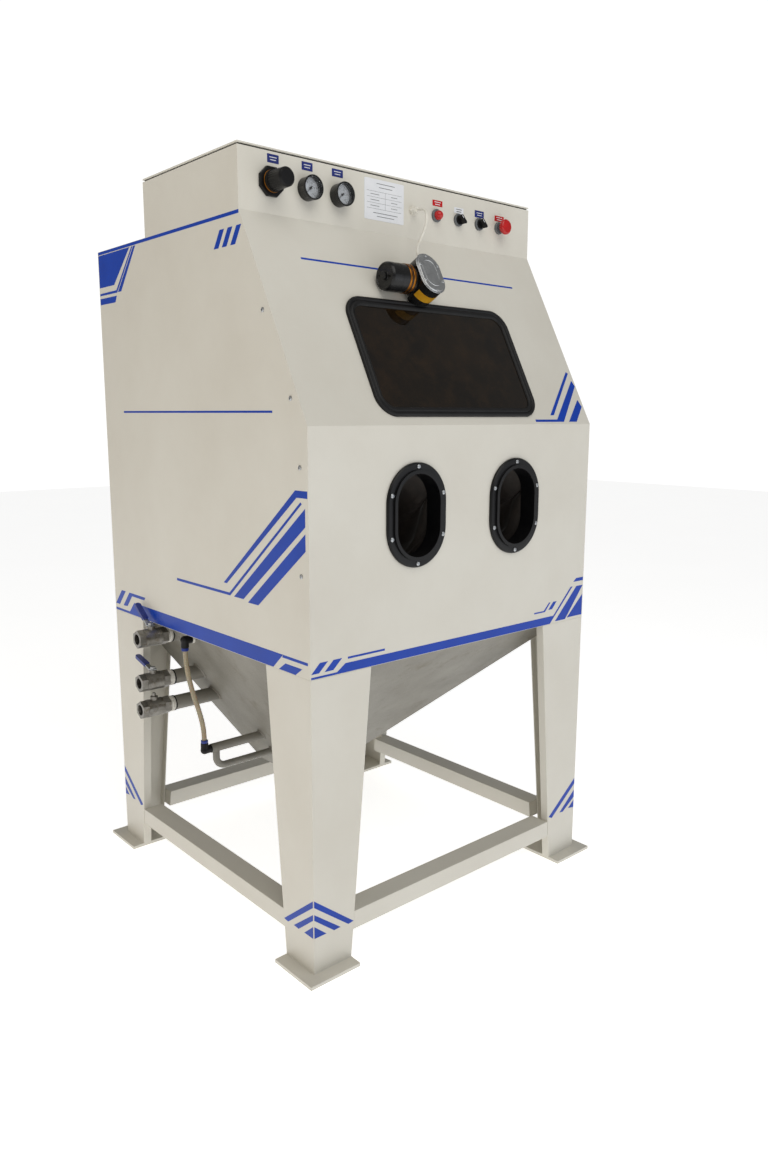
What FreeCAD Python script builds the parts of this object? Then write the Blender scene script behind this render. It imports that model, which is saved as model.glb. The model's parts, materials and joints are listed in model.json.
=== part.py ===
import FreeCAD, Part
import math
import os
from FreeCAD import Placement, Rotation, Vector

os.makedirs("parts", exist_ok=True)

# Millimetres. +Z is up, the front faces -Y, +X is to the right of someone at the gloves.
# The origin is on the floor, under the middle of the cabinet.

# Cabinet body
body_width = 1000.0
body_depth = 1000.0
body_bottom = 740.0          # underside of the chamber
bend_height = 1305.0         # where the front starts to lean back
roof_height = 1785.0
slope_run = 250.0            # how far the sloped front leans back
sheet = 3.0                  # chamber sheet
edge_flange = 45.0           # fold along the front panel's sides
flange_ledge = 30.0          # ledge round the hopper's mouth
skin_gap = 0.3               # between pieces that only lie close

# Control box on the roof
box_height = 137.0
box_depth = 456.0
box_sheet = 2.5
box_ledge = 25.0
lid_height = 8.0
controls_height = 70.0       # line of controls above the roof

# Legs, foot plates and bottom rails
leg_top_width = 180.0
leg_foot_width = 115.0
leg_sheet = 4.0
leg_lip = 25.0
plate_outstand = 35.0
plate_thickness = 10.0
rail_top = 127.0
rail_height = 48.0
rail_width = 60.0
rail_wall = 3.0

# Hopper
outlet_half = 90.0
outlet_x = -70.0
outlet_y = 140.0
outlet_height = 250.0
hopper_sheet = 3.0

# Window
window_width = 568.0         # over the rubber
window_height = 319.0
window_radius = 55.0
window_centre_s = 181.5      # up the slope from the bend
rubber_width = 25.0
rubber_proud = 8.0
glass_thickness = 6.0
glass_bite = 9.0
panel_bite = 12.5

# Glove ports
port_half_width = 96.5
port_half_height = 127.0
port_spacing = 357.0
port_height = 1091.0
port_ring_width = 26.5
port_ring_thickness = 8.0
port_rim = 5.0
port_collar_depth = 35.0
port_collar_wall = 8.0
port_screw_inset = 10.0
screw_shank = 2.5
screw_head = 5.5
screw_clearance = 0.25
sleeve_wall = 2.5
sleeve_length = 330.0
sleeve_drop = 150.0

# Wiper
spindle_x = -34.0
spindle_above_window = 38.0
spindle_radius = 6.0
running_gap = 0.05
wiper_rest_angle = -20.0     # from straight down, towards the left
wiper_sweep_half = 44.0
wiper_margin = 20.0
gearbox_half_width = 38.0
gearbox_half_height = 55.0
gearbox_low = 12.0
gearbox_high = 74.0
cover_thickness = 5.0
motor_radius = 35.0
motor_length = 84.0
motor_axis_height = 37.0
socket_x = 14.0              # where the cable enters the gearbox
socket_rise = 44.0
socket_length = 10.0
cable_radius = 3.2
gland_reach = 18.0

# Controls along the box front, left to right
regulator_x = -412.0
gauge_places = (-309.0, -213.0)
plate_x = -64.5
plate_width = 133.0
plate_height = 98.0
gland_x = 34.0
pilot_x = 120.0
selector_places = (204.0, 287.0)
estop_x = 369.0
knob_radius = 23.0
knob_length = 52.0
nut_across = 65.0
nut_thickness = 9.0
regulator_neck = 20.0
gauge_radius = 28.0
gauge_depth = 30.0
gauge_wall = 2.5
needle_zero = 135.0          # from upright, anticlockwise
selector_off = 45.0
switch_neck = 11.0
bezel_radius = 16.5
bezel_thickness = 7.0
estop_radius = 20.5
estop_travel = 6.0

# Valves and pipes on the left
valve_y = 238.0
valve_heights = (703.0, 574.0, 495.0)
side_outstand = 61.0         # how far the valves and the door handle stand out
valve_length = 88.0
valve_radius = 25.0
valve_bore = 12.5
valve_thread = 15.15
valve_thread_depth = 18.0
ball_radius = 18.0
pipe_radius = 21.0
pipe_wall = 3.0
stem_radius = 5.0
lever_length = 96.0
tube_y = 93.0
tube_radius = 7.0
tube_top = 718.0
tube_foot = 387.0
tube_top_inset = 10.0        # the level tube's ends, in from the left side
tube_foot_inset = 60.0
sump_pipe_radius = 13.0
drain_pipe_radius = 10.0
drain_height = 328.0
drain_inset = 97.0
pipe_overrun = 40.0          # drawn past the hopper's skin, then trimmed there

# Door on the right side
door_front = -270.0
door_rear = 330.0
door_low = 860.0
door_high = 1440.0
door_lap = 30.0
door_pan = 20.0
door_sheet = 2.0
door_seal = 3.0
hinge_pin = 4.0
hinge_knuckle = 9.0
hinge_length = 90.0
door_ledge = 25.0
hinge_third = 30.0
hinge_places = (960.0, 1340.0)
latch_inset = 25.0
latch_shaft = 6.0
latch_z = 1150.0
latch_reach = 45.0

# Inside
grate_height = 25.0
grate_pitch = 45.0
bar_thickness = 4.0
cross_bar_height = 9.0
gun_x = -430.0
gun_y = 60.0
gun_z = 1180.0
gun_radius = 18.0
hose_radius = 9.0
pump_x = -205.0
pump_y = 405.0
pump_z = 443.0
pump_radius = 62.0
pump_width = 60.0
motor_body_radius = 48.0
line_radius = 12.0
line_top = 1120.0
line_inside = 34.0           # how far it reaches in from the back
hose_bends = ((-424.0, 222.0, 1165.0), (-404.0, 268.0, 1140.0), (-368.0, 306.0, 1112.0),
              (-322.0, 334.0, 1094.0), (-270.0, 352.0, 1087.0), (-223.0, 370.0, 1093.0),
              (-188.0, 398.0, 1108.0))

left = -body_width / 2
right = body_width / 2
front = -body_depth / 2
back = body_depth / 2
box_front = front + slope_run
box_top = roof_height + box_height
controls_z = roof_height + controls_height
slope_rise = roof_height - bend_height
slope_angle = math.degrees(math.atan2(slope_rise, slope_run))
spindle_s = window_centre_s + window_height / 2 + spindle_above_window
line_x = pump_x + pump_width / 2
tube_top_x = left + tube_top_inset
tube_foot_x = left + tube_foot_inset
drain_x = left + drain_inset
glass_opening_w = window_width - 2 * rubber_width
glass_opening_h = window_height - 2 * rubber_width

# Each placement turns a flat drawing (x right, y up, z towards the viewer) onto a face.
on_slope = Placement(Vector(0, front, bend_height), Rotation(Vector(1, 0, 0), slope_angle))
on_front = Placement(Vector(0, front, 0), Rotation(Vector(1, 0, 0), 90))
on_box = Placement(Vector(0, box_front, 0), Rotation(Vector(1, 0, 0), 90))


def block(x0, x1, y0, y1, z0, z1):
    return Part.makeBox(x1 - x0, y1 - y0, z1 - z0, Vector(x0, y0, z0))


def rod(radius, length, start, direction=Vector(0, 0, 1)):
    return Part.makeCylinder(radius, length, start, direction)


def cone(r0, r1, length, start, direction=Vector(0, 0, 1)):
    return Part.makeCone(r0, r1, length, start, direction)


def placed(shape, placement):
    moved = shape.copy()
    moved.Placement = placement.multiply(moved.Placement)
    return moved


def joined(shapes):
    whole = shapes[0]
    for piece in shapes[1:]:
        whole = whole.fuse(piece)
    return whole.removeSplitter()


def rounded_plate(width, height, radius, z0, z1, centre=(0.0, 0.0)):
    a = width / 2 - radius
    b = height / 2 - radius
    x, y = centre
    c = radius * math.sqrt(0.5)
    edges = []
    for sx, sy in ((1, 1), (-1, 1), (-1, -1), (1, -1)):
        corner = Vector(x + sx * a, y + sy * b, z0)
        ends = [corner + Vector(sx * radius, 0, 0), corner + Vector(0, sy * radius, 0)]
        if sx * sy < 0:
            ends.reverse()
        edges.append((ends[0], corner + Vector(sx * c, sy * c, 0), ends[1]))
    path = []
    for i, (start, middle, end) in enumerate(edges):
        path.append(Part.Arc(start, middle, end).toShape())
        following = edges[(i + 1) % 4][0]
        if (following - end).Length > 1e-6:
            path.append(Part.LineSegment(end, following).toShape())
    face = Part.Face(Part.Wire(path))
    return face.extrude(Vector(0, 0, z1 - z0))


def obround(half_width, half_height, z0, z1, centre=(0.0, 0.0)):
    return rounded_plate(2 * half_width, 2 * half_height, half_width, z0, z1, centre)


def polygon(points, depth):
    ring = [Vector(*p) for p in points]
    ring.append(ring[0])
    return Part.Face(Part.makePolygon(ring)).extrude(depth)


def front_offset(z):
    """How far the front surface lies behind the cabinet's front at this height."""
    if z <= bend_height:
        return 0.0
    return (z - bend_height) * slope_run / slope_rise


def hopper_x_left(z):
    share = (body_bottom - z) / (body_bottom - outlet_height)
    return left + flange_ledge + share * (outlet_x - outlet_half - left - flange_ledge)


def hopper_y_back(z):
    share = (body_bottom - z) / (body_bottom - outlet_height)
    return back - flange_ledge - share * (back - flange_ledge - outlet_y - outlet_half)


# Side screws, each this far behind the front surface, at the heights given
side_screw_setback = 29.0
side_screw_heights = (974.0, 1215.0, 1364.0, 1558.0)


def side_screw_places():
    return [(front + front_offset(z) + side_screw_setback, z) for z in side_screw_heights]


def side_outline(x0):
    return [(x0, front, body_bottom), (x0, front, bend_height), (x0, box_front, roof_height),
            (x0, back, roof_height), (x0, back, body_bottom)]


def side_panel(x0):
    panel = polygon(side_outline(x0), Vector(sheet, 0, 0))
    for y, z in side_screw_places():
        hole = rod(screw_shank + screw_clearance, sheet, Vector(x0, y, z), Vector(1, 0, 0))
        panel = panel.cut(hole)
    return panel


def left_side_panel():
    panel = side_panel(left)
    # Cradle for the blast gun, welded to the inside
    x0 = left + sheet
    reach = gun_x + gun_radius + 6.0
    plate = block(x0, reach, gun_y - 20, gun_y + 20, gun_z - gun_radius - 8, gun_z + 4)
    seat = rod(gun_radius + skin_gap, 60, Vector(gun_x, gun_y - 30, gun_z), Vector(0, 1, 0))
    slot = block(gun_x - gun_radius - skin_gap, gun_x + gun_radius + skin_gap,
                 gun_y - 30, gun_y + 30, gun_z, gun_z + 30)
    return joined([panel, plate.cut(seat).cut(slot)])


def right_side_panel():
    panel = side_panel(right - sheet)
    opening = block(right - 2 * sheet, right + sheet, door_front, door_rear, door_low, door_high)
    return panel.cut(opening)


def port_places():
    return [(side * port_spacing / 2, port_height) for side in (-1, 1)]


def port_screw_places():
    radius = port_half_width - port_screw_inset
    straight = port_half_height - port_half_width
    side_rise = 21.0
    side_reach = math.sqrt(radius ** 2 - side_rise ** 2)
    places = [(0, straight + radius), (0, -straight - radius)]
    for sx in (-1, 1):
        for sy in (-1, 1):
            places.append((sx * side_reach, sy * (straight + side_rise)))
    return places


def front_panel():
    x0 = left + sheet
    width = body_width - 2 * sheet
    drop = sheet * math.tan(math.radians((90 - slope_angle) / 2))
    lower = polygon([(x0, front, body_bottom), (x0, front, bend_height),
                     (x0, front + sheet, bend_height - drop), (x0, front + sheet, body_bottom)],
                    Vector(width, 0, 0))
    lean = sheet / math.sin(math.radians(slope_angle))
    upper = polygon([(x0, front, bend_height), (x0, box_front, roof_height),
                     (x0, box_front + lean, roof_height),
                     (x0, front + sheet, bend_height - drop)], Vector(width, 0, 0))
    panel = joined([lower, upper])
    for side in (-1, 1):
        inner = side * (right - sheet)
        fold = polygon([(inner, front + sheet, body_bottom), (inner, front + sheet, bend_height - drop),
                        (inner, box_front + lean, roof_height),
                        (inner, box_front + lean + edge_flange, roof_height),
                        (inner, front + sheet + edge_flange, bend_height - drop),
                        (inner, front + sheet + edge_flange, body_bottom)],
                       Vector(-side * sheet, 0, 0))
        panel = panel.fuse(fold)
    panel = panel.removeSplitter()
    cutters = []
    for x, z in port_places():
        half = port_half_width - port_ring_width + port_collar_wall + skin_gap
        tall = port_half_height - port_ring_width + port_collar_wall + skin_gap
        cutters.append(placed(obround(half, tall, -2 * sheet, sheet, (x, z)), on_front))
        for dx, dz in port_screw_places():
            hole = rod(screw_shank + screw_clearance, 3 * sheet, Vector(x + dx, z + dz, -2 * sheet))
            cutters.append(placed(hole, on_front))
    opening = rounded_plate(window_width - 2 * panel_bite, window_height - 2 * panel_bite,
                            window_radius - panel_bite, -4 * sheet, 4 * sheet, (0, window_centre_s))
    cutters.append(placed(opening, on_slope))
    bush = rod(spindle_radius + 4 + skin_gap, 8 * sheet, Vector(spindle_x, spindle_s, -4 * sheet))
    cutters.append(placed(bush, on_slope))
    for y, z in side_screw_places():
        cutters.append(rod(screw_shank + screw_clearance, body_width, Vector(left, y, z), Vector(1, 0, 0)))
    for cutter in cutters:
        panel = panel.cut(cutter)
    return panel


def back_panel():
    plain = block(left + sheet, right - sheet, back - sheet, back, body_bottom, roof_height - sheet)
    hole = rod(line_radius + skin_gap, 4 * sheet, Vector(line_x, back - 2 * sheet, line_top), Vector(0, 1, 0))
    return plain.cut(hole)


def roof_panel():
    lean = sheet / math.sin(math.radians(slope_angle))
    start = box_front + lean + skin_gap
    inside = left + 2 * sheet + skin_gap
    return joined([block(left + sheet, right - sheet, start + edge_flange, back,
                         roof_height - sheet, roof_height),
                   block(inside, -inside, start, start + edge_flange + 1,
                         roof_height - sheet, roof_height)])


def frustum_corners(ledge, z_top, half, z_low):
    """Corners of the funnel, low ring and top ring, each from the left front and round by the right."""
    signs = ((-1, -1), (1, -1), (1, 1), (-1, 1))
    top = [Vector(sx * (right - ledge), sy * (back - ledge), z_top) for sx, sy in signs]
    low = [Vector(outlet_x + sx * half, outlet_y + sy * half, z_low) for sx, sy in signs]
    return low, top


def lofted(rings):
    return Part.makeLoft([Part.makePolygon(ring + [ring[0]]) for ring in rings], True, True)


def frustum(ledge, z_top, half, z_low):
    return lofted(frustum_corners(ledge, z_top, half, z_low))


def hopper():
    """Four sloping sheets mitred along their edges, a bottom plate and a ledge of four strips."""
    wall = hopper_sheet * 1.5
    mouth = flange_ledge + wall
    inner_half = outlet_half - wall + 1.0
    outer = frustum_corners(flange_ledge, body_bottom, outlet_half, outlet_height)
    inner = frustum_corners(mouth, body_bottom, inner_half, outlet_height)
    walls = []
    for i in range(4):
        j = (i + 1) % 4
        walls.append(lofted([[a[i], a[j], b[j], b[i]] for a, b in zip(outer, inner)]))
    for z in valve_heights:
        start = Vector(hopper_x_left(z) - 20, valve_y, z)
        walls[3] = walls[3].cut(rod(pipe_radius - pipe_wall, 60, start, Vector(1, 0, 0)))
    slice_low = block(left, right, front, back, outlet_height, outlet_height + hopper_sheet)
    plate = frustum(mouth, body_bottom, inner_half, outlet_height).common(slice_low)
    z0, z1 = body_bottom, body_bottom + sheet
    inset = sheet + skin_gap
    inside = 2 * sheet + skin_gap
    ledge = [block(left + inside, right - inside, front + inset, front + mouth, z0, z1),
             block(left + inside, right - inside, back - mouth, back - inset, z0, z1),
             block(left + inside, left + mouth, front + mouth, back - mouth, z0, z1),
             block(right - mouth, right - inside, front + mouth, back - mouth, z0, z1)]
    return Part.makeCompound(walls + [plate] + ledge)


def work_grate():
    """A welded grate: a frame of four bars, three cross bars and the long bars that lie on them."""
    inset = 2 * sheet + 6.0
    t = bar_thickness
    x0, x1 = left + inset, right - inset
    y0, y1 = front + inset, back - inset
    z0 = body_bottom + sheet
    z1 = z0 + grate_height
    seat = z0 + cross_bar_height
    bars = [block(x0, x0 + t, y0, y1, z0, z1), block(x1 - t, x1, y0, y1, z0, z1),
            block(x0 + t, x1 - t, y0, y0 + t, z0, z1), block(x0 + t, x1 - t, y1 - t, y1, z0, z1)]
    count = int((x1 - x0) // grate_pitch)
    step = (x1 - x0) / count
    for i in range(1, count):
        x = x0 + i * step
        bars.append(block(x - t / 2, x + t / 2, y0 + t, y1 - t, seat, z1))
    for share in (0.25, 0.5, 0.75):
        y = y0 + share * (y1 - y0)
        bars.append(block(x0 + t, x1 - t, y - t / 2, y + t / 2, z0, seat))
    return Part.makeCompound(bars)


def leg(sx, sy):
    """A leg folded from plate: two outer faces that taper to the foot, each with a lip."""
    z0, z1 = plate_thickness, body_bottom
    top, low = leg_top_width, leg_foot_width

    def face(swap):
        outer = [(0, 0, z0), (low, 0, z0), (top, 0, z1), (0, 0, z1)]
        if swap:
            outer = [(y, x, z) for x, y, z in outer]
        depth = Vector(leg_sheet, 0, 0) if swap else Vector(0, leg_sheet, 0)
        return polygon(outer, depth)

    def lip(swap):
        strip = [(low - leg_sheet, 0, z0), (low, 0, z0), (top, 0, z1), (top - leg_sheet, 0, z1)]
        if swap:
            strip = [(y, x, z) for x, y, z in strip]
        depth = Vector(leg_lip, 0, 0) if swap else Vector(0, leg_lip, 0)
        return polygon(strip, depth)

    folded = joined([face(False), face(True), lip(False), lip(True)])
    plate_size = leg_foot_width + plate_outstand
    plate = Part.makeBox(plate_size, plate_size, plate_thickness,
                         Vector(-plate_outstand, -plate_outstand, 0))
    whole = joined([folded, plate])
    # Drawn for the corner at the left front, then mirrored to its own corner
    whole.translate(Vector(left, front, 0))
    if sx > 0:
        whole = whole.mirror(Vector(0, 0, 0), Vector(1, 0, 0))
    if sy > 0:
        whole = whole.mirror(Vector(0, 0, 0), Vector(0, 1, 0))
    return whole


def leg_edge(z):
    """How far a leg's free edge lies from the cabinet's corner at this height."""
    share = (z - plate_thickness) / (body_bottom - plate_thickness)
    return leg_foot_width + share * (leg_top_width - leg_foot_width)


def bottom_rails():
    z0, z1 = rail_top - rail_height, rail_top
    rails = []
    for along_x in (True, False):
        half = right if along_x else back
        side = back if along_x else right
        for s in (-1, 1):
            def ring(z_low, z_high, y):
                ends = [half - leg_edge(z_low), half - leg_edge(z_high)]
                points = [(-ends[0], y, z_low), (ends[0], y, z_low),
                          (ends[1], y, z_high), (-ends[1], y, z_high)]
                return points if along_x else [(q, p, r) for p, q, r in points]

            outer_y = s * (side - 1.0)
            reach = Vector(0, -s * rail_width, 0) if along_x else Vector(-s * rail_width, 0, 0)
            outer = polygon(ring(z0, z1, outer_y), reach)
            inner_y = outer_y - s * rail_wall
            depth = rail_width - 2 * rail_wall
            inner_reach = Vector(0, -s * depth, 0) if along_x else Vector(-s * depth, 0, 0)
            inner = polygon(ring(z0 + rail_wall, z1 - rail_wall, inner_y), inner_reach)
            rails.append(outer.cut(inner))
    return Part.makeCompound(rails)


def control_box():
    y0, y1 = box_front, box_front + box_depth
    t = box_sheet
    outer = block(left, right, y0, y1, roof_height, box_top)
    cavity = block(left + t, right - t, y0 + t, y1 - t, roof_height - 1, box_top - t)
    hatch = block(left + box_ledge, right - box_ledge, y0 + box_ledge, y1 - box_ledge,
                  box_top - 2 * t, box_top + 1)
    shell = outer.cut(cavity).cut(hatch)
    holes = [(regulator_x, regulator_neck)]
    holes += [(x, 6.0) for x in gauge_places]
    holes += [(gland_x, 8.0), (pilot_x, switch_neck), (estop_x, switch_neck)]
    holes += [(x, switch_neck) for x in selector_places]
    for x, radius in holes:
        shell = shell.cut(placed(rod(radius + skin_gap, 20, Vector(x, controls_z, -10)), on_box))
    return shell


def control_box_lid():
    y0, y1 = box_front, box_front + box_depth
    outer = block(left, right, y0, y1, box_top, box_top + lid_height)
    hollow = block(left + 8, right - 8, y0 + 8, y1 - 8, box_top - 1, box_top + lid_height - box_sheet)
    lip_gap = 4.0
    relief = block(left - 1, right + 1, y0 - 1, y1 + 1, box_top, box_top + lip_gap)
    core = block(left + 5, right - 5, y0 + 5, y1 - 5, box_top, box_top + lip_gap)
    return outer.cut(relief.cut(core)).cut(hollow)


def window_gasket():
    centre = (0, window_centre_s)
    low, high = -sheet - rubber_proud + 2, rubber_proud
    ring = rounded_plate(window_width, window_height, window_radius, low, high, centre)
    ring = ring.cut(rounded_plate(glass_opening_w, glass_opening_h, window_radius - rubber_width,
                                  low, high, centre))
    wide = rounded_plate(window_width + 20, window_height + 20, window_radius, -sheet, 0, centre)
    narrow = rounded_plate(window_width - 2 * panel_bite, window_height - 2 * panel_bite,
                           window_radius - panel_bite, -sheet, 0, centre)
    ring = ring.cut(wide.cut(narrow))
    return placed(ring.cut(window_glass_flat()), on_slope)


def window_glass_flat():
    grow = 2 * glass_bite
    low = -sheet / 2 - glass_thickness / 2
    return rounded_plate(glass_opening_w + grow, glass_opening_h + grow,
                         window_radius - rubber_width + glass_bite,
                         low, low + glass_thickness, (0, window_centre_s))


def window_glass():
    return placed(window_glass_flat(), on_slope)


def port_flange(index):
    x, z = port_places()[index]
    hw, hh = port_half_width, port_half_height
    ow, oh = hw - port_ring_width, hh - port_ring_width
    ring = obround(hw, hh, 0, port_ring_thickness, (x, z))
    outer_edge = ring.Faces[-1]
    ring = ring.makeChamfer(3.0, outer_edge.Edges)
    rim = obround(ow + 9, oh + 9, port_ring_thickness, port_ring_thickness + port_rim, (x, z))
    collar = obround(ow + port_collar_wall, oh + port_collar_wall, -port_collar_depth, 0, (x, z))
    whole = joined([ring, rim, collar])
    whole = whole.cut(obround(ow, oh, -port_collar_depth, port_ring_thickness + port_rim, (x, z)))
    for dx, dz in port_screw_places():
        whole = whole.cut(rod(screw_shank + screw_clearance, 30, Vector(x + dx, z + dz, -10)))
    return placed(whole, on_front)


def screw_with_nut(head_z, nut_z):
    """A button-head screw along +z, its head resting at head_z and its nut at nut_z below."""
    head = rod(screw_head, 1.2, Vector(0, 0, head_z))
    dome = cone(screw_head, screw_head * 0.55, 1.8, Vector(0, 0, head_z + 1.2))
    socket = rod(1.6, 3, Vector(0, 0, head_z + 1.6))
    shank = rod(screw_shank, head_z - nut_z + 6, Vector(0, 0, nut_z - 6))
    screw = joined([head, dome, shank]).cut(socket)
    nut = rod(4.6, 4, Vector(0, 0, nut_z - 4)).cut(rod(screw_shank + running_gap, 6, Vector(0, 0, nut_z - 5)))
    return [screw, nut]


def port_screws():
    pieces = []
    for x, z in port_places():
        for dx, dz in port_screw_places():
            for piece in screw_with_nut(port_ring_thickness, -sheet):
                piece.translate(Vector(x + dx, z + dz, 0))
                pieces.append(placed(piece, on_front))
    return Part.makeCompound(pieces)


def side_screws():
    pieces = []
    for side in (-1, 1):
        facing = Rotation(Vector(0, 1, 0), 90 * side)
        for y, z in side_screw_places():
            for piece in screw_with_nut(0, -2 * sheet):
                pieces.append(placed(piece, Placement(Vector(side * right, y, z), facing)))
    return Part.makeCompound(pieces)


def obround_wire(half_width, half_height, centre, z):
    solid = obround(half_width, half_height, z, z + 1, centre)
    faces = sorted(solid.Faces, key=lambda f: f.CenterOfMass.z)
    return faces[0].OuterWire


def sleeve(index):
    x, z = port_places()[index]
    w = port_half_width - port_ring_width + port_collar_wall
    h = port_half_height - port_ring_width + port_collar_wall
    start = -sheet - 6.0

    def bag(grow, end_extra):
        rings = [(w, h, 0, start), (w, h, 0, -port_collar_depth - 2),
                 (0.82 * w, 0.84 * h, -0.3 * sleeve_drop, -0.5 * sleeve_length),
                 (0.62 * w, 0.56 * h, -sleeve_drop, -sleeve_length - end_extra)]
        wires = [obround_wire(a + grow, b + grow, (x, z + dz), d) for a, b, dz, d in rings]
        return Part.makeLoft(wires, True, True)

    outer = bag(sleeve_wall, sleeve_wall)
    return placed(outer.cut(bag(0.0, 0.0)), on_front)


def regulator_body():
    neck = rod(regulator_neck, 16, Vector(regulator_x, controls_z, -12))
    block_back = rounded_plate(62, 62, 8, -80, -box_sheet - 1, (regulator_x, controls_z))
    bowl = rod(17, 34, Vector(regulator_x, controls_z - 64, -42), Vector(0, 1, 0))
    port = rod(11, 90, Vector(regulator_x - 45, controls_z, -42), Vector(1, 0, 0))
    hub = rod(14.0, 14, Vector(regulator_x, controls_z, 0))
    whole = joined([neck, block_back, bowl, port, hub])
    return placed(whole, on_box)


def regulator_nut():
    sides = 8
    outer_radius = nut_across / 2 / math.cos(math.pi / sides)
    ring = []
    for i in range(sides):
        turn = math.pi / sides + i * 2 * math.pi / sides
        ring.append((regulator_x + outer_radius * math.cos(turn),
                     controls_z + outer_radius * math.sin(turn), 0))
    nut = polygon(ring, Vector(0, 0, nut_thickness))
    nut = nut.makeChamfer(1.5, [e for e in nut.Edges if abs(e.CenterOfMass.z - nut_thickness) < 0.01])
    bore = rod(regulator_neck + 0.1, 20, Vector(regulator_x, controls_z, -5))
    return placed(nut.cut(bore), on_box)


def regulator_knob():
    base = nut_thickness + 4.0
    centre = Vector(regulator_x, controls_z, 0)
    skirt = rod(knob_radius + 1.5, 9, centre + Vector(0, 0, base))
    grip = cone(knob_radius, knob_radius - 1.5, knob_length - 9, centre + Vector(0, 0, base + 9))
    cap = cone(knob_radius - 1.5, knob_radius - 5.5, 4, centre + Vector(0, 0, base + knob_length))
    knob = joined([skirt, grip, cap])
    bore = rod(14.0 + running_gap, 12, centre + Vector(0, 0, base - 4))
    knob = knob.cut(bore)
    groove_count = 24
    for i in range(groove_count):
        turn = 2 * math.pi * i / groove_count
        place = centre + Vector(knob_radius * math.cos(turn), knob_radius * math.sin(turn), base + 12)
        knob = knob.cut(rod(1.3, knob_length, place))
    return placed(knob, on_box)


def gauge_cases():
    cases = []
    for x in gauge_places:
        centre = Vector(x, controls_z, 0)
        cup = rod(gauge_radius - 1.0, gauge_depth - 4, centre)
        bezel = rod(gauge_radius, 5, centre + Vector(0, 0, gauge_depth - 5))
        case = joined([cup, bezel])
        case = case.cut(rod(gauge_radius - gauge_wall - 1, gauge_depth, centre + Vector(0, 0, 12)))
        pivot = rod(1.2, 6, centre + Vector(0, 0, 12))
        stem = rod(6.0, 30, centre + Vector(0, 0, -30))
        backnut = rod(11.0, 8, centre + Vector(0, 0, -box_sheet - 8))
        cases.append(placed(joined([case, pivot, stem, backnut]), on_box))
    return Part.makeCompound(cases)


def gauge_lenses():
    lenses = []
    for x in gauge_places:
        start = Vector(x, controls_z, gauge_depth - 4)
        lenses.append(placed(rod(gauge_radius - gauge_wall - 1, 2, start), on_box))
    return Part.makeCompound(lenses)


def gauge_needle(index):
    centre = Vector(gauge_places[index], controls_z, 14)
    hub = rod(3.0, 2.2, centre)
    pointer = polygon([(centre.x - 1.2, centre.y - 7, 14.5), (centre.x + 1.2, centre.y - 7, 14.5),
                       (centre.x + 0.35, centre.y + 18, 14.5), (centre.x - 0.35, centre.y + 18, 14.5)],
                      Vector(0, 0, 0.9))
    needle = joined([hub, pointer]).cut(rod(1.2 + running_gap, 6, centre - Vector(0, 0, 1)))
    needle.rotate(centre, Vector(0, 0, 1), needle_zero)
    return placed(needle, on_box)


def data_plate():
    plate = rounded_plate(plate_width, plate_height, 3, 0, 0.8, (plate_x, roof_height + 79.0))
    return placed(plate, on_box)


legend_sizes = ((regulator_x + 8, 121.5, 32, 19), (gauge_places[0] + 2, 121.5, 32, 19),
                (gauge_places[1] - 3, 121.5, 34, 18), (pilot_x + 5, 102.0, 37, 15),
                (selector_places[0] + 3, 95.0, 36, 15), (selector_places[1] + 2, 97.0, 37, 18),
                (estop_x + 3, 96.0, 39, 15))


def legend_plates():
    plates = []
    for x, rise, width, height in legend_sizes:
        plate = rounded_plate(width, height, 1.0, 0, 0.6, (x, roof_height + rise))
        plates.append(placed(plate, on_box))
    return Part.makeCompound(plates)


def cable_gland():
    centre = Vector(gland_x, controls_z, 0)
    neck = rod(8.0, 16, centre + Vector(0, 0, -12))
    corners = []
    for i in range(6):
        turn = i * math.pi / 3
        corners.append((gland_x + 12 * math.cos(turn), controls_z + 12 * math.sin(turn), 0))
    hexagon = polygon(corners, Vector(0, 0, 6))
    cap = cone(10.5, 7.0, gland_reach - 6, centre + Vector(0, 0, 6))
    backnut = rod(11.5, 5, centre + Vector(0, 0, -box_sheet - 5))
    whole = joined([neck, hexagon, cap, backnut])
    return placed(whole, on_box)


def rounded_route(points, radius, label):
    """A tube of the given radius along straight runs joined by tangent arcs."""
    points = [Vector(*p) for p in points]
    edges = []
    bends = []
    start = points[0]
    for before, corner, after in zip(points, points[1:], points[2:]):
        a = (corner - before)
        b = (after - corner)
        turn = a.getAngle(b)
        shorter = min(a.Length, b.Length)
        setback = 0.45 * shorter
        bend = setback / math.tan(turn / 2)
        bends.append(bend)
        ua, ub = Vector(a), Vector(b)
        ua.normalize()
        ub.normalize()
        arc_start = corner - ua * setback
        arc_end = corner + ub * setback
        inward = ub - ua
        inward.normalize()
        middle = corner + inward * (bend / math.cos(turn / 2) - bend)
        edges.append(Part.LineSegment(start, arc_start).toShape())
        edges.append(Part.Arc(arc_start, middle, arc_end).toShape())
        start = arc_end
    edges.append(Part.LineSegment(start, points[-1]).toShape())
    spine = Part.Wire(edges)
    first = points[1] - points[0]
    profile = Part.Wire(Part.makeCircle(radius, points[0], first))
    tube = spine.makePipeShell([profile], True, False)
    print(label, "bend radii", [round(b) for b in bends], "length", round(spine.Length))
    return tube


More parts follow.
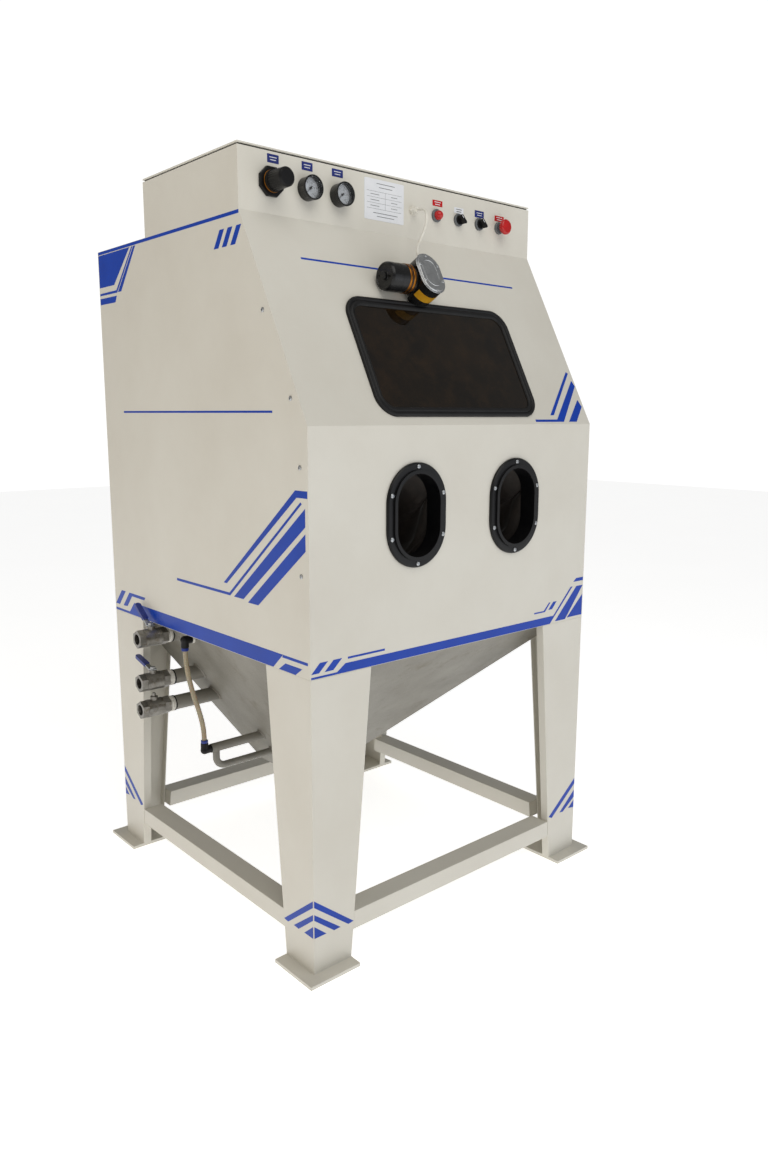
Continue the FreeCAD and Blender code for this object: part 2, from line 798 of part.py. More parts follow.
def wiper_cable():
    y = box_front
    z = controls_z
    socket_end = spindle_s + gearbox_half_height + socket_length
    entry = on_slope.multVec(Vector(spindle_x + socket_x, socket_end, socket_rise))
    before = on_slope.multVec(Vector(spindle_x + socket_x, socket_end + 25.0, socket_rise))
    route = [(gland_x, y - gland_reach, z), (gland_x, y - gland_reach - 22.0, z),
             (gland_x - 3.0, y - 56.0, z - 11.0), (gland_x - 8.0, y - 63.0, z - 33.0),
             (gland_x - 17.0, y - 65.0, z - 58.0), (gland_x - 35.0, y - 68.0, z - 85.0),
             tuple(before), tuple(entry)]
    return rounded_route(route, cable_radius, "wiper cable")


def wiper_motor():
    # The can lies across the window, its gear end in the gearbox
    x1 = spindle_x - gearbox_half_width + 6.0
    s = spindle_s + 4.0
    start = Vector(x1 - motor_length, s, motor_axis_height)
    can = rod(motor_radius, motor_length, start, Vector(1, 0, 0))
    cap = cone(motor_radius - 5, motor_radius, 7, start - Vector(7, 0, 0), Vector(1, 0, 0))
    boss = rod(10.0, 12, start - Vector(12, 0, 0), Vector(1, 0, 0))
    body = joined([can, cap, boss])
    return placed(body.cut(gearbox_flat(running_gap)), on_slope)


def gearbox_flat(grow=0.0):
    centre = (spindle_x, spindle_s)
    return obround(gearbox_half_width + grow, gearbox_half_height + grow,
                   gearbox_low - grow, gearbox_high + grow, centre)


def wiper_gearbox():
    cx, cy = spindle_x, spindle_s
    body = gearbox_flat()
    feet = []
    for dx, dy in ((-22, 28), (22, 28), (-22, -28), (22, -28)):
        feet.append(rod(6.5, gearbox_low + 2, Vector(cx + dx, cy + dy, 0)))
    socket = rod(7.5, socket_length + 8, Vector(cx + socket_x, cy + gearbox_half_height - 8, socket_rise),
                 Vector(0, 1, 0))
    # Bush that carries the spindle through the cabinet's skin
    bush = rod(spindle_radius + 4, gearbox_low + sheet + 11, Vector(cx, cy, -sheet - 10))
    whole = joined([body, bush] + feet + [socket])
    bore = rod(spindle_radius + running_gap, gearbox_low + sheet + 41, Vector(cx, cy, -sheet - 11))
    return placed(whole.cut(bore), on_slope)


def gearbox_cover():
    centre = (spindle_x, spindle_s)
    low = obround(gearbox_half_width + 1.5, gearbox_half_height + 1.5, gearbox_high,
                  gearbox_high + 2, centre)
    top = obround(gearbox_half_width - 3, gearbox_half_height - 3, gearbox_high + 2,
                  gearbox_high + cover_thickness, centre)
    top = top.makeChamfer(1.2, top.Faces[-1].Edges)
    return placed(joined([low, top]), on_slope)


glass_inner = -sheet / 2 - glass_thickness / 2
arm_plane = glass_inner - 20.0
wiper_sin = math.sin(math.radians(wiper_sweep_half))
wiper_cos = math.cos(math.radians(wiper_sweep_half))
to_rubber = spindle_above_window + rubber_width
blade_start = (to_rubber + 12.0) / wiper_cos
blade_end = min((glass_opening_w / 2 - abs(spindle_x) - wiper_margin) / wiper_sin,
                to_rubber + glass_opening_h - wiper_margin)


def turned_to_rest(flat):
    flat.rotate(Vector(spindle_x, spindle_s, 0), Vector(0, 0, 1), wiper_rest_angle)
    return placed(flat, on_slope)


def wiper_arm():
    cx, cy = spindle_x, spindle_s
    middle = (blade_start + blade_end) / 2
    shaft = rod(spindle_radius, gearbox_low + 26 - arm_plane, Vector(cx, cy, arm_plane - 4))
    hub = rod(11.0, 8, Vector(cx, cy, arm_plane - 6))
    strip = polygon([(cx - 7, cy, arm_plane - 3), (cx + 7, cy, arm_plane - 3),
                     (cx + 4, cy - middle - 8, arm_plane - 3), (cx - 4, cy - middle - 8, arm_plane - 3)],
                    Vector(0, 0, 3))
    return turned_to_rest(joined([shaft, hub, strip]))


def wiper_blade():
    cx, cy = spindle_x, spindle_s
    edge = glass_inner - skin_gap
    top = cy - blade_start
    rubber = polygon([(cx - 3.5, top, arm_plane + 5), (cx + 3.5, top, arm_plane + 5),
                      (cx + 0.6, top, edge), (cx - 0.6, top, edge)],
                     Vector(0, blade_start - blade_end, 0))
    carrier = block(cx - 4, cx + 4, cy - blade_end, cy - blade_start, arm_plane, arm_plane + 5)
    return turned_to_rest(joined([rubber, carrier]))


def pilot_lens():
    centre = Vector(pilot_x, controls_z, 0)
    base = rod(12.0, 4, centre + Vector(0, 0, bezel_thickness))
    ball = Part.makeSphere(12.0, centre + Vector(0, 0, bezel_thickness + 4))
    dome = ball.common(rod(13, 14, centre + Vector(0, 0, bezel_thickness + 4)))
    return placed(joined([base, dome]), on_box)


def switch_bezels():
    pieces = []
    for x in (pilot_x,) + selector_places + (estop_x,):
        centre = Vector(x, controls_z, 0)
        ring = rod(bezel_radius, bezel_thickness, centre)
        rim = [e for e in ring.Edges if abs(e.CenterOfMass.z - bezel_thickness) < 0.01]
        ring = ring.makeChamfer(1.5, rim)
        neck = rod(switch_neck, 30, centre + Vector(0, 0, -30))
        block_back = block(x - 15, x + 15, controls_z - 20, controls_z + 20, -70, -26)
        lock = rod(14.5, 5, centre + Vector(0, 0, -box_sheet - 5))
        piece = joined([ring, neck, block_back, lock])
        if x != pilot_x:
            bore_depth = bezel_thickness + 24
            piece = piece.cut(rod(7.0 + running_gap, bore_depth, centre + Vector(0, 0, -24)))
        pieces.append(placed(piece, on_box))
    return Part.makeCompound(pieces)


def selector_knob(index):
    x = selector_places[index]
    centre = Vector(x, controls_z, 0)
    low = bezel_thickness + skin_gap
    shaft = rod(7.0, low + 16, centre + Vector(0, 0, -16))
    disc = rod(12.5, 4, centre + Vector(0, 0, low))
    handle = rounded_plate(8, 27, 3.5, low + 4, low + 18, (x, controls_z))
    knob = joined([shaft, disc, handle])
    knob.rotate(centre, Vector(0, 0, 1), selector_off)
    return placed(knob, on_box)


def estop_stem():
    centre = Vector(estop_x, controls_z, 0)
    slim = rod(7.0, bezel_thickness + 22 + 12, centre + Vector(0, 0, -12))
    collar = rod(10.0, 2.0, centre + Vector(0, 0, bezel_thickness + estop_travel + 1.0))
    return placed(joined([slim, collar]), on_box)


def estop_head():
    centre = Vector(estop_x, controls_z, 0)
    low = bezel_thickness + estop_travel + 3.0 + skin_gap
    skirt = cone(14.0, estop_radius, 9, centre + Vector(0, 0, low))
    disc = rod(estop_radius, 6, centre + Vector(0, 0, low + 9))
    crown = cone(estop_radius, estop_radius - 4, 4, centre + Vector(0, 0, low + 15))
    head = joined([skirt, disc, crown])
    socket = rod(7.0 + running_gap, bezel_thickness + 22 - low + skin_gap, centre + Vector(0, 0, low))
    return placed(head.cut(socket), on_box)


valve_mouth_x = left - side_outstand
hinge_x = right + 3.0 + hinge_knuckle
hinge_y = door_rear + door_lap + 14.0
latch_y = door_front + latch_inset
stem_x = valve_mouth_x + 0.5 * valve_length


def valve_bodies():
    bodies = []
    for z in valve_heights:
        centre = Vector(valve_mouth_x, valve_y, z)
        along = Vector(1, 0, 0)
        belly = rod(valve_radius, valve_length - 36, centre + Vector(18, 0, 0), along)

        def hexagon(x0, size, width):
            ring = []
            for i in range(6):
                a = i * math.pi / 3 + math.pi / 6
                ring.append((x0, valve_y + size * math.cos(a), z + size * math.sin(a)))
            return polygon(ring, Vector(width, 0, 0))

        mouth = hexagon(valve_mouth_x, valve_radius + 1.0, 18)
        tail = hexagon(valve_mouth_x + valve_length - 18, valve_radius + 1.0, 18)
        tower = rod(11.0, valve_radius + 8, Vector(stem_x, valve_y, z))
        body = joined([belly, mouth, tail, tower])
        body = body.cut(rod(valve_bore, valve_length, centre, along))
        body = body.cut(rod(valve_thread, valve_thread_depth, centre, along))
        tail_start = Vector(valve_mouth_x + valve_length - 16, valve_y, z)
        body = body.cut(rod(pipe_radius - 4, 17, tail_start, along))
        body = body.cut(Part.makeSphere(ball_radius + skin_gap, Vector(stem_x, valve_y, z)))
        body = body.cut(rod(stem_radius + running_gap, valve_radius + 10, Vector(stem_x, valve_y, z)))
        bodies.append(body)
    return Part.makeCompound(bodies)


def valve_ball(z):
    centre = Vector(stem_x, valve_y, z)
    ball = Part.makeSphere(ball_radius, centre)
    ball = ball.cut(rod(valve_bore, 60, centre - Vector(30, 0, 0), Vector(1, 0, 0)))
    stem = rod(stem_radius, valve_radius + 18 - valve_bore - 2, centre + Vector(0, 0, valve_bore + 2))
    return joined([ball, stem])


def valve_lever(index):
    """Ball, stem, nut and hand lever, which turn as one. The lever points to the back."""
    z = valve_heights[index]
    tilt = (36.0, 14.0)[index]
    base = z + valve_radius + 8 + skin_gap
    washer = rod(9.0, 3, Vector(stem_x, valve_y, base))
    nut = polygon([(stem_x + 8 * math.cos(i * math.pi / 3), valve_y + 8 * math.sin(i * math.pi / 3), base + 3)
                   for i in range(6)], Vector(0, 0, 6))
    root = block(stem_x - 9, stem_x + 9, valve_y - 9, valve_y + 15, base, base + 3)
    blade = block(stem_x - 7, stem_x + 7, valve_y + 12, valve_y + 36, base, base + 3)
    grip = rounded_plate(17, lever_length - 30, 7, base - 3, base + 6,
                         (stem_x, valve_y + 32 + (lever_length - 30) / 2))
    arm = joined([blade, grip])
    arm.rotate(Vector(stem_x, valve_y + 14, base + 1.5), Vector(1, 0, 0), tilt)
    return joined([valve_ball(z), washer, nut, root, arm])


def bottom_valve_stem():
    return valve_ball(valve_heights[2])


def valve_pipes():
    pipes = []
    tail_x = valve_mouth_x + valve_length
    for z in valve_heights:
        along = Vector(1, 0, 0)
        reach = hopper_x_left(z) + pipe_overrun
        tube = rod(pipe_radius, reach - tail_x - 2, Vector(tail_x + 2, valve_y, z), along)
        nipple = rod(pipe_radius - 4, 16, Vector(tail_x - 14, valve_y, z), along)
        tube = tube.fuse(nipple)
        tube = tube.cut(rod(pipe_radius - 4 - pipe_wall, 400, Vector(tail_x - 20, valve_y, z), along))
        tube = tube.cut(frustum(flange_ledge, body_bottom, outlet_half, outlet_height))
        pieces = sorted(tube.Solids, key=lambda s: -s.Volume)
        pipes.append(pieces[0])
    return Part.makeCompound(pipes)


def level_tube_elbows():
    elbows = []
    for x, z, down in ((tube_top_x, tube_top, -1), (tube_foot_x, tube_foot, 1)):
        corner = Vector(x, tube_y, z)
        body = Part.makeSphere(12.0, corner)
        arm = rod(11.5, 20, corner, Vector(1, 0, 0))
        drop = rod(11.0, 20, corner, Vector(0, 0, down))
        ring = rod(9.5, 8, corner + Vector(0, 0, down * 20), Vector(0, 0, down))
        elbow = joined([body, arm, drop, ring])
        end = corner + Vector(0, 0, down * 15)
        elbows.append(elbow.cut(rod(tube_radius + running_gap, 14, end, Vector(0, 0, down))))
    return Part.makeCompound(elbows)


def level_tube_hose():
    x0, x1 = tube_top_x, tube_foot_x
    z0, z1 = tube_top - 15, tube_foot + 15
    span = z0 - z1
    route = [(x0, tube_y, z0), (x0, tube_y, z0 - 0.13 * span), (x0 + 7, tube_y, z0 - 0.3 * span),
             (x0 + 19, tube_y, z0 - 0.47 * span), (x0 + 35, tube_y, z0 - 0.64 * span),
             (x1 - 5, tube_y, z0 - 0.77 * span), (x1, tube_y, z0 - 0.88 * span), (x1, tube_y, z1)]
    return rounded_route(route, tube_radius, "level tube")


def into_hopper(tube):
    """Trim a pipe where it meets the hopper's skin and keep the stretch outside."""
    trimmed = tube.cut(frustum(flange_ledge, body_bottom, outlet_half, outlet_height))
    return sorted(trimmed.Solids, key=lambda s: -s.Volume)[0]


def sump_pipes():
    pieces = []
    # Stub that carries the level tube's upper elbow
    stub_x = tube_top_x + 20
    stub_length = hopper_x_left(tube_top) + pipe_overrun - stub_x
    pieces.append(into_hopper(rod(9.0, stub_length, Vector(stub_x, tube_y, tube_top), Vector(1, 0, 0))))
    # Lower pipe, and the drain pipe that drops from it and turns into the hopper
    foot_x = tube_foot_x + 20
    lower_length = hopper_x_left(tube_foot) + pipe_overrun - foot_x
    lower = rod(sump_pipe_radius, lower_length, Vector(foot_x, tube_y, tube_foot), Vector(1, 0, 0))
    bend = 28.0
    drop_top = Vector(drain_x, tube_y, tube_foot)
    knee = Vector(drain_x, tube_y, drain_height + bend)
    middle = Vector(drain_x + bend * (1 - math.sqrt(0.5)), tube_y, drain_height + bend * (1 - math.sqrt(0.5)))
    turn = Vector(drain_x + bend, tube_y, drain_height)
    end = Vector(hopper_x_left(drain_height) + pipe_overrun, tube_y, drain_height)
    spine = Part.Wire([Part.LineSegment(drop_top, knee).toShape(), Part.Arc(knee, middle, turn).toShape(),
                       Part.LineSegment(turn, end).toShape()])
    circle = Part.Wire(Part.makeCircle(drain_pipe_radius, drop_top, Vector(0, 0, -1)))
    drain = spine.makePipeShell([circle], True, False)
    pieces.append(into_hopper(lower.fuse(drain)))
    pieces.append(slurry_line())
    return Part.makeCompound(pieces)


def slurry_pump():
    """Pump and motor lying along the back of the hopper, fed from its lower part."""
    along = Vector(1, 0, 0)
    start = Vector(pump_x, pump_y, pump_z)
    volute = rod(pump_radius, pump_width, start, along)
    cover = cone(pump_radius - 24, pump_radius - 4, 20, start - Vector(20, 0, 0), along)
    lantern = rod(motor_body_radius - 12, 24, start + Vector(pump_width, 0, 0), along)
    motor = rod(motor_body_radius, 135, start + Vector(pump_width + 24, 0, 0), along)
    fan_start = start + Vector(pump_width + 159, 0, 0)
    fan_cover = cone(motor_body_radius + 2, motor_body_radius - 6, 26, fan_start, along)
    knee = start - Vector(42, 0, 0)
    nozzle = rod(17.0, 44, knee, along)
    knuckle = Part.makeSphere(20.0, knee)
    suction = rod(17.0, 110, knee, Vector(0, -1, 0))
    bracket = block(pump_x + 90, pump_x + 130, pump_y - 130, pump_y - motor_body_radius + 12,
                    pump_z - 18, pump_z + 18)
    outlet = rod(line_radius + 4, pump_radius + 8, start + Vector(pump_width / 2, 0, 0))
    whole = joined([volute, cover, lantern, motor, fan_cover, nozzle, knuckle, suction, bracket, outlet])
    return into_hopper(whole)


def slurry_line():
    """Pipe from the pump, up the outside of the back panel and in to the gun's hose."""
    z0 = pump_z + pump_radius + 8
    y_up = back + line_radius + 5.0
    z_turn = z0 + 45.0
    corners = [Vector(line_x, pump_y, z0), Vector(line_x, pump_y, z_turn), Vector(line_x, y_up, z_turn),
               Vector(line_x, y_up, line_top), Vector(line_x, back - line_inside, line_top)]
    pieces = []
    for a, b in zip(corners, corners[1:]):
        pieces.append(rod(line_radius, (b - a).Length, a, b - a))
    for corner in corners[1:4]:
        pieces.append(Part.makeSphere(line_radius + 3.0, corner))
    return joined(pieces)


def gun_hose():
    end_y = back - line_inside
    route = [(gun_x, gun_y + 65.0, gun_z), (gun_x, gun_y + 112.0, gun_z)]
    route += hose_bends
    route += [(line_x, end_y - 35.0, line_top), (line_x, end_y, line_top)]
    return rounded_route(route, hose_radius, "gun hose")


def blast_gun():
    axis = Vector(0, 1, 0)
    body = rod(gun_radius, 120, Vector(gun_x, gun_y - 70, gun_z), axis)
    nose = cone(13.0, gun_radius, 22, Vector(gun_x, gun_y - 92, gun_z), axis)
    nozzle = rod(10.0, 42, Vector(gun_x, gun_y - 134, gun_z), axis)
    fitting = rod(12.0, 15, Vector(gun_x, gun_y + 50, gun_z), axis)
    air_inlet = rod(8.0, 34, Vector(gun_x, gun_y - 45, gun_z + gun_radius - 4))
    whole = joined([body, nose, nozzle, fitting, air_inlet])
    return whole.cut(rod(5.0, 60, Vector(gun_x, gun_y - 135, gun_z), axis))


def interior_lamp():
    top = roof_height - sheet
    lamp = block(-250, 250, -130, -50, top - 38, top)
    lamp = lamp.makeChamfer(12.0, [e for e in lamp.Edges if e.CenterOfMass.z < top - 37 and e.Length > 400])
    return lamp


def door_panel():
    x0 = right + door_seal
    x1 = x0 + door_pan
    y0, y1 = door_front - door_lap, door_rear + door_lap
    z0, z1 = door_low - door_lap, door_high + door_lap
    t = door_sheet
    pan = block(x0, x1, y0, y1, z0, z1)
    pan = pan.makeFillet(4.0, [e for e in pan.Edges if e.CenterOfMass.x > x1 - 0.01])
    pan = pan.cut(block(x0 + t, x1 - t, y0 + t, y1 - t, z0 + t, z1 - t))
    pan = pan.cut(block(x0 - 1, x0 + t, y0 + door_ledge, y1 - door_ledge, z0 + door_ledge, z1 - door_ledge))
    boss = rod(latch_shaft + 5, door_pan - t, Vector(x0 + t, latch_y, latch_z), Vector(1, 0, 0))
    pieces = [pan, boss]
    for z in hinge_places:
        knuckle = rod(hinge_knuckle - skin_gap, hinge_third, Vector(hinge_x, hinge_y, z - hinge_third / 2))
        leaf = block(hinge_x - 4, hinge_x, y1 - 1, hinge_y, z - hinge_third / 2, z + hinge_third / 2)
        pieces += [knuckle, leaf]
    door = joined(pieces)
    for z in hinge_places:
        bore = rod(hinge_pin + running_gap, hinge_length, Vector(hinge_x, hinge_y, z - hinge_length / 2))
        door = door.cut(bore)
    return door.cut(rod(latch_shaft + running_gap, door_pan, Vector(x0, latch_y, latch_z), Vector(1, 0, 0)))


def door_gasket():
    y0, y1 = door_front - door_lap + 3, door_rear + door_lap - 3
    z0, z1 = door_low - door_lap + 3, door_high + door_lap - 3
    x0, x1 = right + skin_gap, right + door_seal
    ring = block(x0, x1, y0, y1, z0, z1)
    width = door_ledge - 5
    return ring.cut(block(x0, x1, y0 + width, y1 - width, z0 + width, z1 - width))


def door_hinges():
    pieces = []
    for z in hinge_places:
        low = z - hinge_length / 2
        leaf = block(right, right + 3.0, hinge_y, hinge_y + 38, low, low + hinge_length)
        knuckles = []
        outer_length = (hinge_length - hinge_third) / 2 - skin_gap
        for start in (low, low + hinge_length - outer_length):
            knuckles.append(rod(hinge_knuckle, outer_length, Vector(hinge_x, hinge_y, start)))
            knuckles.append(block(right + 1, hinge_x - 4, hinge_y, hinge_y + 8, start, start + outer_length))
        fixed = joined([leaf] + knuckles)
        fixed = fixed.cut(rod(hinge_pin, hinge_length + 4, Vector(hinge_x, hinge_y, low - 2)))
        pin = rod(hinge_pin, hinge_length, Vector(hinge_x, hinge_y, low))
        head = rod(hinge_pin + 2.5, 3, Vector(hinge_x, hinge_y, low + hinge_length))
        pieces += [fixed, joined([pin, head])]
    return Part.makeCompound(pieces)


def door_latch():
    along = Vector(1, 0, 0)
    outer = right + door_seal + door_pan + skin_gap
    tip = right + side_outstand
    tongue_x = right - sheet - 1.0 - 4.0
    shaft = rod(latch_shaft, outer + 4 - tongue_x, Vector(tongue_x, latch_y, latch_z), along)
    hub = rod(14.0, tip - outer - 10, Vector(outer, latch_y, latch_z), along)
    grip = block(tip - 20, tip, latch_y - 110, latch_y + 14, latch_z - 11, latch_z + 11)
    grip = grip.makeFillet(6.0, [e for e in grip.Edges if e.CenterOfMass.x > tip - 0.1 or e.Length < 23])
    tongue = block(tongue_x, tongue_x + 4, latch_y - 10, latch_y + 10, latch_z - 12, latch_z + latch_reach)
    return joined([shaft, hub, grip, tongue])


nodes = {
    "left_side_panel": left_side_panel,
    "right_side_panel": right_side_panel,
    "front_panel": front_panel,
    "back_panel": back_panel,
    "roof_panel": roof_panel,
    "hopper": hopper,
    "work_grate": work_grate,
    "front_left_leg": lambda: leg(-1, -1),
    "front_right_leg": lambda: leg(1, -1),
    "back_left_leg": lambda: leg(-1, 1),
    "back_right_leg": lambda: leg(1, 1),
    "bottom_rails": bottom_rails,
    "control_box": control_box,
    "control_box_lid": control_box_lid,
    "window_gasket": window_gasket,
    "window_glass": window_glass,
    "left_port_flange": lambda: port_flange(0),
    "right_port_flange": lambda: port_flange(1),
    "port_screws": port_screws,
    "left_sleeve": lambda: sleeve(0),
    "right_sleeve": lambda: sleeve(1),
    "side_screws": side_screws,
    "regulator_body": regulator_body,
    "regulator_nut": regulator_nut,
    "regulator_knob": regulator_knob,
    "gauge_cases": gauge_cases,
    "gauge_lenses": gauge_lenses,
    "left_gauge_needle": lambda: gauge_needle(0),
    "right_gauge_needle": lambda: gauge_needle(1),
    "data_plate": data_plate,
    "legend_plates": legend_plates,
    "cable_gland": cable_gland,
    "wiper_cable": wiper_cable,
    "wiper_motor": wiper_motor,
    "wiper_gearbox": wiper_gearbox,
    "gearbox_cover": gearbox_cover,
    "wiper_arm": wiper_arm,
    "wiper_blade": wiper_blade,
    "pilot_lens": pilot_lens,
    "switch_bezels": switch_bezels,
    "left_selector_knob": lambda: selector_knob(0),
    "right_selector_knob": lambda: selector_knob(1),
    "estop_stem": estop_stem,
    "estop_head": estop_head,
    "valve_bodies": valve_bodies,
    "top_valve_lever": lambda: valve_lever(0),
    "middle_valve_lever": lambda: valve_lever(1),
    "bottom_valve_stem": bottom_valve_stem,
    "valve_pipes": valve_pipes,
    "level_tube_elbows": level_tube_elbows,
    "level_tube_hose": level_tube_hose,
    "sump_pipes": sump_pipes,
    "slurry_pump": slurry_pump,
    "gun_hose": gun_hose,
    "blast_gun": blast_gun,
    "interior_lamp": interior_lamp,
    "door_panel": door_panel,
    "door_gasket": door_gasket,
    "door_hinges": door_hinges,
    "door_latch": door_latch,
}

for name, make in nodes.items():
    shape = make()
    shape.exportStep("parts/" + name + ".step")
    print(name, "solids", len(shape.Solids), "volume", round(shape.Volume / 1000, 1), "cm3", shape.isValid())
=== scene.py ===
import json
import math
import bmesh
import bpy
from mathutils import Matrix, Vector


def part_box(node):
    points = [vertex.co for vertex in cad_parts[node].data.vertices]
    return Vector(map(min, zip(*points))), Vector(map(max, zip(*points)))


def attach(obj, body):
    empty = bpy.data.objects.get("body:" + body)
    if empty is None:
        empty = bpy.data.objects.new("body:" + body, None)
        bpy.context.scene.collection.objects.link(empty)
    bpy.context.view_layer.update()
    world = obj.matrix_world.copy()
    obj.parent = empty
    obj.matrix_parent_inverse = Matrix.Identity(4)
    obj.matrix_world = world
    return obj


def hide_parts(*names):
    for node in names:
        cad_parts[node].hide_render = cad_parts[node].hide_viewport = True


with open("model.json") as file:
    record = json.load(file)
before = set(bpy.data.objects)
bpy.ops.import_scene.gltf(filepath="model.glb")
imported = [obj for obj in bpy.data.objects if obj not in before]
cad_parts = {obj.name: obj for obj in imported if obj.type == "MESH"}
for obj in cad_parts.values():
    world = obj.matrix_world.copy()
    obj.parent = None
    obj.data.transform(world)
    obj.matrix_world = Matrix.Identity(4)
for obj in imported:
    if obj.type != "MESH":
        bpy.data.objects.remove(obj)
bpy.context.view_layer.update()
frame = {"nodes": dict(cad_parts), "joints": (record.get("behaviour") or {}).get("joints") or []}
print("frame loaded:", len(frame["nodes"]), "nodes")

mm = 0.001
joints = {joint["name"]: joint for joint in frame["joints"]}

# The faces of the cabinet, read from the frame
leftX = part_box("left_side_panel")[0].x
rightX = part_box("right_side_panel")[1].x
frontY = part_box("front_panel")[0].y
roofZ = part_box("roof_panel")[1].z
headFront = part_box("control_box")[0].y
slopeOut = Vector(joints["wiper_sweep"]["axis"])
slopeUp = Vector((0, slopeOut.z, -slopeOut.y))
bendZ = roofZ - (headFront - frontY) * slopeUp.z / slopeUp.y


# A flat drawing in mm (x right, y up, z outwards) turned onto a face
def faceFrame(origin, across, up):
    across = Vector(across)
    up = Vector(up)
    turn = Matrix((across, up, across.cross(up))).transposed().to_4x4()
    return Matrix.Translation(Vector(origin)) @ turn @ Matrix.Scale(mm, 4)


onSlope = faceFrame((0, frontY, bendZ), (1, 0, 0), slopeUp)
onFront = faceFrame((0, frontY, 0), (1, 0, 0), (0, 0, 1))
onHead = faceFrame((0, headFront, 0), (1, 0, 0), (0, 0, 1))
onLeft = faceFrame((leftX, 0, 0), (0, -1, 0), (0, 0, 1))
inRoom = Matrix.Scale(mm, 4)


def at(x, y, z=0.0):
    return Matrix.Translation((x, y, z))


def turnedBy(degrees, axis):
    return Matrix.Rotation(math.radians(degrees), 4, axis)


def linear(hexColour):
    parts = [int(hexColour[i:i + 2], 16) / 255 for i in (0, 2, 4)]
    return [c / 12.92 if c <= 0.04045 else ((c + 0.055) / 1.055) ** 2.4 for c in parts] + [1.0]


def addNode(tree, kind, inputs=None, **settings):
    node = tree.nodes.new(kind)
    for name, value in settings.items():
        setattr(node, name, value)
    for key, value in (inputs or {}).items():
        if isinstance(value, bpy.types.NodeSocket):
            tree.links.new(value, node.inputs[key])
        else:
            node.inputs[key].default_value = value
    return node


# Two close colours in patches, a fine grain in the gloss and the relief, and a stain where one is given
def makeSurface(name, look):
    material = bpy.data.materials.new(name)
    material.use_nodes = True
    tree = material.node_tree
    shader = tree.nodes["Principled BSDF"]
    place = addNode(tree, "ShaderNodeTexCoord").outputs["Object"]
    stretch = addNode(tree, "ShaderNodeMapping", {"Vector": place, "Scale": look.get("stretch", (1, 1, 1))})
    patches = addNode(tree, "ShaderNodeTexNoise",
                      {"Vector": place, "Scale": 1000 / look["patch"], "Detail": 5.0, "Roughness": 0.6})
    grain = addNode(tree, "ShaderNodeTexNoise",
                    {"Vector": stretch.outputs[0], "Scale": 1000 / look["grain"], "Detail": 3.0})
    spread = addNode(tree, "ShaderNodeMapRange",
                     {"Value": patches.outputs["Fac"], "From Min": 0.3, "From Max": 0.7})
    tint = addNode(tree, "ShaderNodeMix",
                   {0: spread.outputs[0], 6: linear(look["colours"][0]), 7: linear(look["colours"][1])},
                   data_type="RGBA").outputs[2]
    gloss = addNode(tree, "ShaderNodeMapRange",
                    {"Value": grain.outputs["Fac"], "From Min": 0.25, "From Max": 0.75,
                     "To Min": look["roughness"][0], "To Max": look["roughness"][1]}).outputs[0]
    if "stain" in look:
        hexColour, size, low, high = look["stain"]
        spots = addNode(tree, "ShaderNodeTexNoise",
                        {"Vector": place, "Scale": 1000 / size, "Detail": 8.0, "Roughness": 0.7})
        reach = addNode(tree, "ShaderNodeMapRange",
                        {"Value": spots.outputs["Fac"], "From Min": low, "From Max": high})
        tint = addNode(tree, "ShaderNodeMix",
                       {0: reach.outputs[0], 6: tint, 7: linear(hexColour)}, data_type="RGBA").outputs[2]
    relief = addNode(tree, "ShaderNodeBump",
                     {"Height": grain.outputs["Fac"], "Distance": look["relief"] * mm, "Strength": 1.0})
    tree.links.new(tint, shader.inputs["Base Color"])
    tree.links.new(gloss, shader.inputs["Roughness"])
    tree.links.new(relief.outputs[0], shader.inputs["Normal"])
    for socket, value in look.get("sockets", {}).items():
        shader.inputs[socket].default_value = value
    return material


